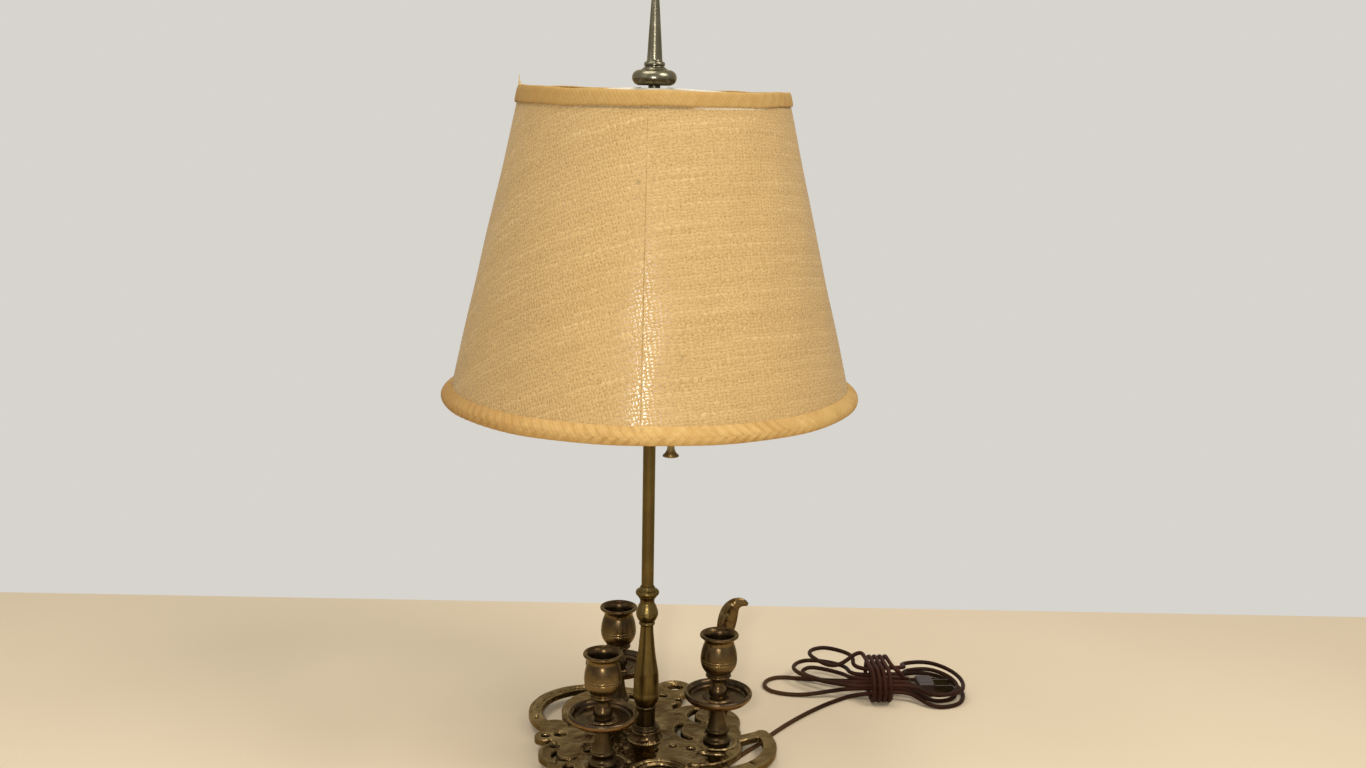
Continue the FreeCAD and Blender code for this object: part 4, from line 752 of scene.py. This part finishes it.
TRIM_WARP, TRIM_WEFT = 0.0024, 0.0019
FLUSH = 0.6  # the fold value that leaves the outline where it is


def ring_piece(name, outline, node, braid, depth, ripple, lean, raised=0.0):
    """A trim swept round the shade. outline is closed, as (out from the cloth, height).

    braid gives the fold value of each point, depth the folds' height, ripple the unevenness of the
    edges, lean the slant of the weave in radians, and raised how far the top rises at the left.
    """
    count, columns = TRIM_GRID
    path = np.array(outline)
    steps = np.linalg.norm(np.roll(path, -1, axis=0) - path, axis=1)
    ends = np.concatenate([[0], np.cumsum(steps)])
    share = np.linspace(0, ends[-1], count, endpoint=False)
    closed = np.vstack([path, path[:1]])
    out = np.interp(share, ends, closed[:, 0])
    high = np.interp(share, ends, closed[:, 1])
    for _ in range(3):
        out = (np.roll(out, 1) + 2 * out + np.roll(out, -1)) / 4
        high = (np.roll(high, 1) + 2 * high + np.roll(high, -1)) / 4
    around = np.stack([np.roll(line, -1) - np.roll(line, 1) for line in (out, high)], axis=-1)
    around /= np.linalg.norm(around, axis=1)[:, None]
    normal = np.stack([around[:, 1], -around[:, 0]], axis=-1)
    angle = np.linspace(0, 2 * math.pi, columns)[None, :] * np.ones((count, 1))
    low, top = high.min(), high.max()
    level = ((high - low) / (top - low))[:, None]
    reach = cone_radius(low) * angle
    azimuth = (angle + math.pi) % (2 * math.pi) - math.pi + SEAM
    fold = braid(reach, level, azimuth)
    shown = np.clip((out / out.max() - 0.15) / 0.5, 0, 1)[:, None]
    radius_here = out[:, None] + normal[:, :1] * depth * (fold - FLUSH) * shown
    height_here = high[:, None] + normal[:, 1:] * depth * (fold - FLUSH) * shown
    height_here = height_here + ripple * np.sin(5 * angle + 1.3) + 0.6 * ripple * np.sin(13 * angle)
    height_here = height_here + raised * level * np.clip(-np.sin(azimuth), 0, 1)
    radius = cone_radius(height_here) + radius_here
    c, s = math.cos(lean), math.sin(lean)
    run = share[:, None] * np.ones((1, columns))
    uv = np.stack([(reach * c + run * s) / TRIM_WARP, (-reach * s + run * c) / TRIM_WEFT], axis=-1)
    mesh = grid_mesh(name, round_axis(radius, angle, height_here), uv, closed_rows=True)
    mark = mesh.attributes.new("fold", "FLOAT", "POINT")
    mark.data.foreach_set("value", (fold * np.ones_like(radius)).astype(np.float32).ravel())
    return add_piece(name, mesh, "shade", "trim", node)


BRAID_START, BRAID_END = math.radians(-63.5), math.radians(62)  # from the viewer's side
PLAIN = 0.72  # fold value of a plain roll


def plait(reach, level, azimuth):
    """Two rows of slanted strands along the front, and a plain roll elsewhere."""
    pitch, slope = 0.0078, 0.0095
    upper = level > 0.5
    slant = np.where(upper, 1.0, -1.0) * (level - 0.5) * slope
    beat = np.cos(2 * np.pi * (reach + slant + np.where(upper, 0.0, pitch / 2)) / pitch)
    beat = beat + 0.5 * np.sin(reach * 61) + 0.35 * np.sin(reach * 143 + 6 * level)
    strand = np.clip(0.5 + 0.4 * beat, 0, 1)
    groove = np.clip(np.abs(level - 0.5) / 0.14, 0, 1)
    braid = strand ** 0.5 * (0.6 + 0.4 * groove)
    start = np.clip((azimuth - BRAID_START) / 0.02, 0, 1)
    fade = np.clip((BRAID_END - azimuth) / 0.5, 0, 1)
    shown = start * fade
    return PLAIN + (braid - PLAIN) * shown


def folded(reach, level, _azimuth):
    """A flat band with faint slanted pleats all the way round."""
    pitch, slope = 0.0098, 0.006
    beat = np.cos(2 * np.pi * (reach - level * slope) / pitch + 1.2 * np.sin(reach * 41))
    return PLAIN + 0.2 * beat


def make_trims():
    """A thick roll round the lower edge and a flat band over the top edge."""
    low = LOW - 0.0004
    roll = [
        (-0.0014, LOW + 0.0006), (-0.0010, low + 0.0002), (0.0012, low), (0.0032, low + 0.0008),
        (0.0050, low + 0.0024), (0.0060, low + 0.0045), (0.0061, low + 0.0062),
        (0.0054, low + 0.0080), (0.0040, low + 0.0096), (0.0021, low + 0.0110),
        (0.0006, low + 0.0120), (-0.0004, low + 0.0124), (-0.0008, LOW + 0.0060),
    ]
    ring_piece(
        "bottom_trim", roll, "shade_bottom_trim", plait, depth=0.0006, ripple=0.0002, lean=0.72,
    )
    base = HIGH - 0.009
    band = [
        (-0.0014, HIGH - 0.0004), (0.0001, HIGH - 0.0004), (0.0001, base + 0.0003),
        (0.0010, base - 0.0003), (0.0017, base + 0.0012), (0.0018, base + 0.0040),
        (0.0018, HIGH - 0.0014), (0.0013, HIGH + 0.0004), (0.0002, HIGH + 0.0008),
        (-0.0012, HIGH + 0.0006),
    ]
    ring_piece(
        "top_trim", band, "shade_top_trim", folded, depth=0.0005, ripple=0.00035, lean=0.62,
        raised=0.0022,
    )


TUFT_THREADS, TUFT_THREAD = 44, 0.00042
TUFT_FIRST, TUFT_WIDTH = 4, 16  # degrees from -X towards the viewer
TUFT_HEIGHT = 0.0086


def make_tuft():
    """A torn corner of cloth that stands up where the top band is joined, with frayed ends."""
    rng = np.random.default_rng(7)
    curve = bpy.data.curves.new("frayed_tuft", "CURVE")
    curve.dimensions = "3D"
    curve.bevel_depth = TUFT_THREAD
    curve.bevel_resolution = 2
    curve.use_fill_caps = True
    for count in range(TUFT_THREADS):
        share = count / (TUFT_THREADS - 1)
        turn = math.radians(TUFT_FIRST + TUFT_WIDTH * share)
        reach = HIGH_RADIUS + 0.0006
        start = Vector((-reach * math.cos(turn), -reach * math.sin(turn), HIGH + 0.0004))
        rise = TUFT_HEIGHT * (1 - share) + 0.0008 + rng.uniform(-0.0005, 0.0005)
        along = Vector((math.sin(turn), -math.cos(turn), 0.0))
        lean = along * (0.0012 * share + rng.uniform(-0.0004, 0.0004))
        lean = lean + Vector((0.0006, 0.0002, rise))
        side = along * rng.uniform(-0.0003, 0.0003)
        points = [start, start + lean * 0.35 + side, start + lean * 0.75 - side, start + lean]
        spline = curve.splines.new("NURBS")
        spline.points.add(3)
        for target, point, thick in zip(spline.points, points, (1.1, 1.0, 0.8, 0.4)):
            target.co = (*point, 1.0)
            target.radius = thick
        spline.order_u = 3
        spline.use_endpoint_u = True
    return add_piece("frayed_tuft", curve, "shade", "burlap", look="fray")


cloth = make_cloth()
lining = make_lining()
make_trims()
tuft = make_tuft()


# Room: a pale table that ends behind the lamp, and a plain pale wall beyond it

TABLE = (-1.6, 1.6, -1.5, 0.323, 0.03)  # left, right, near edge, far edge, thickness
WALL = (0.68, 0.66, 0.62, 1.0)
WALL_LIGHT, WALL_SEEN = 0.36, 1.0  # its strength as light, and to the eye and in reflections


def make_table():
    net = Net("table_top")
    place = net.place()
    cloud = net.noise(place, 3.0, 3.0, 0.6)
    tone = net.blend(net.span(cloud, 0.35, 0.68), (0.735, 0.605, 0.425), (0.76, 0.63, 0.445))
    net.finish(Base_Color=tone, Roughness=0.7)
    left, right, near, far, drop = TABLE
    corners = [(left, near), (right, near), (right, far), (left, far)]
    mesh = bpy.data.meshes.new("table_top")
    verts = [(x, y, 0.0) for x, y in corners] + [(x, y, -drop) for x, y in corners]
    faces = [(0, 1, 2, 3), (0, 4, 5, 1), (1, 5, 6, 2), (2, 6, 7, 3), (3, 7, 4, 0)]
    mesh.from_pydata(verts, [], faces)
    floor = bpy.data.objects.new("table_top", mesh)
    scene.collection.objects.link(floor)
    mesh.materials.append(net.material)


def make_world():
    """The wall is the world's colour, brighter to the eye and in reflections than as light."""
    world = bpy.data.worlds.new("room")
    world.use_nodes = True
    tree = world.node_tree
    back = tree.nodes["Background"]
    back.inputs["Color"].default_value = WALL
    path = tree.nodes.new("ShaderNodeLightPath")
    seen = path.outputs["Is Camera Ray"]
    for ray in ("Is Glossy Ray", "Is Transmission Ray"):
        either = tree.nodes.new("ShaderNodeMath")
        either.operation = "MAXIMUM"
        tree.links.new(seen, either.inputs[0])
        tree.links.new(path.outputs[ray], either.inputs[1])
        seen = either.outputs[0]
    strength = tree.nodes.new("ShaderNodeMapRange")
    tree.links.new(seen, strength.inputs[0])
    strength.inputs[3].default_value = WALL_LIGHT
    strength.inputs[4].default_value = WALL_SEEN
    tree.links.new(strength.outputs[0], back.inputs["Strength"])
    scene.world = world


def make_lamp(name, place, target, size, power, colour):
    """A round soft lamp that faces its target."""
    data = bpy.data.lights.new(name, "AREA")
    data.shape = "DISK"
    data.size = size
    data.energy = power
    data.color = colour
    light = bpy.data.objects.new(name, data)
    scene.collection.objects.link(light)
    light.location = place
    light.rotation_mode = "QUATERNION"
    light.rotation_quaternion = (Vector(target) - Vector(place)).to_track_quat("-Z", "Y")


make_table()
make_world()
# name, place, target, width, watts, colour
lamps = [
    ("front_lamp", (-0.035, -1.06, 0.56), (0, 0, 0.3), 0.09, 5.5, (1.0, 0.98, 0.95)),
    ("key_lamp", (0.9, -0.5, 1.5), (0, 0, 0.25), 0.8, 14.0, (1.0, 0.96, 0.90)),
    ("fill_lamp", (-1.1, -0.7, 1.1), (0, 0, 0.25), 0.9, 1.6, (1.0, 0.95, 0.88)),
    ("top_lamp", (-0.4, -0.1, 1.7), (-0.3, -0.05, 0.0), 1.0, 13.0, (1.0, 0.98, 0.94)),
]
for row in lamps:
    make_lamp(*row)

scene.view_settings.view_transform = "Standard"
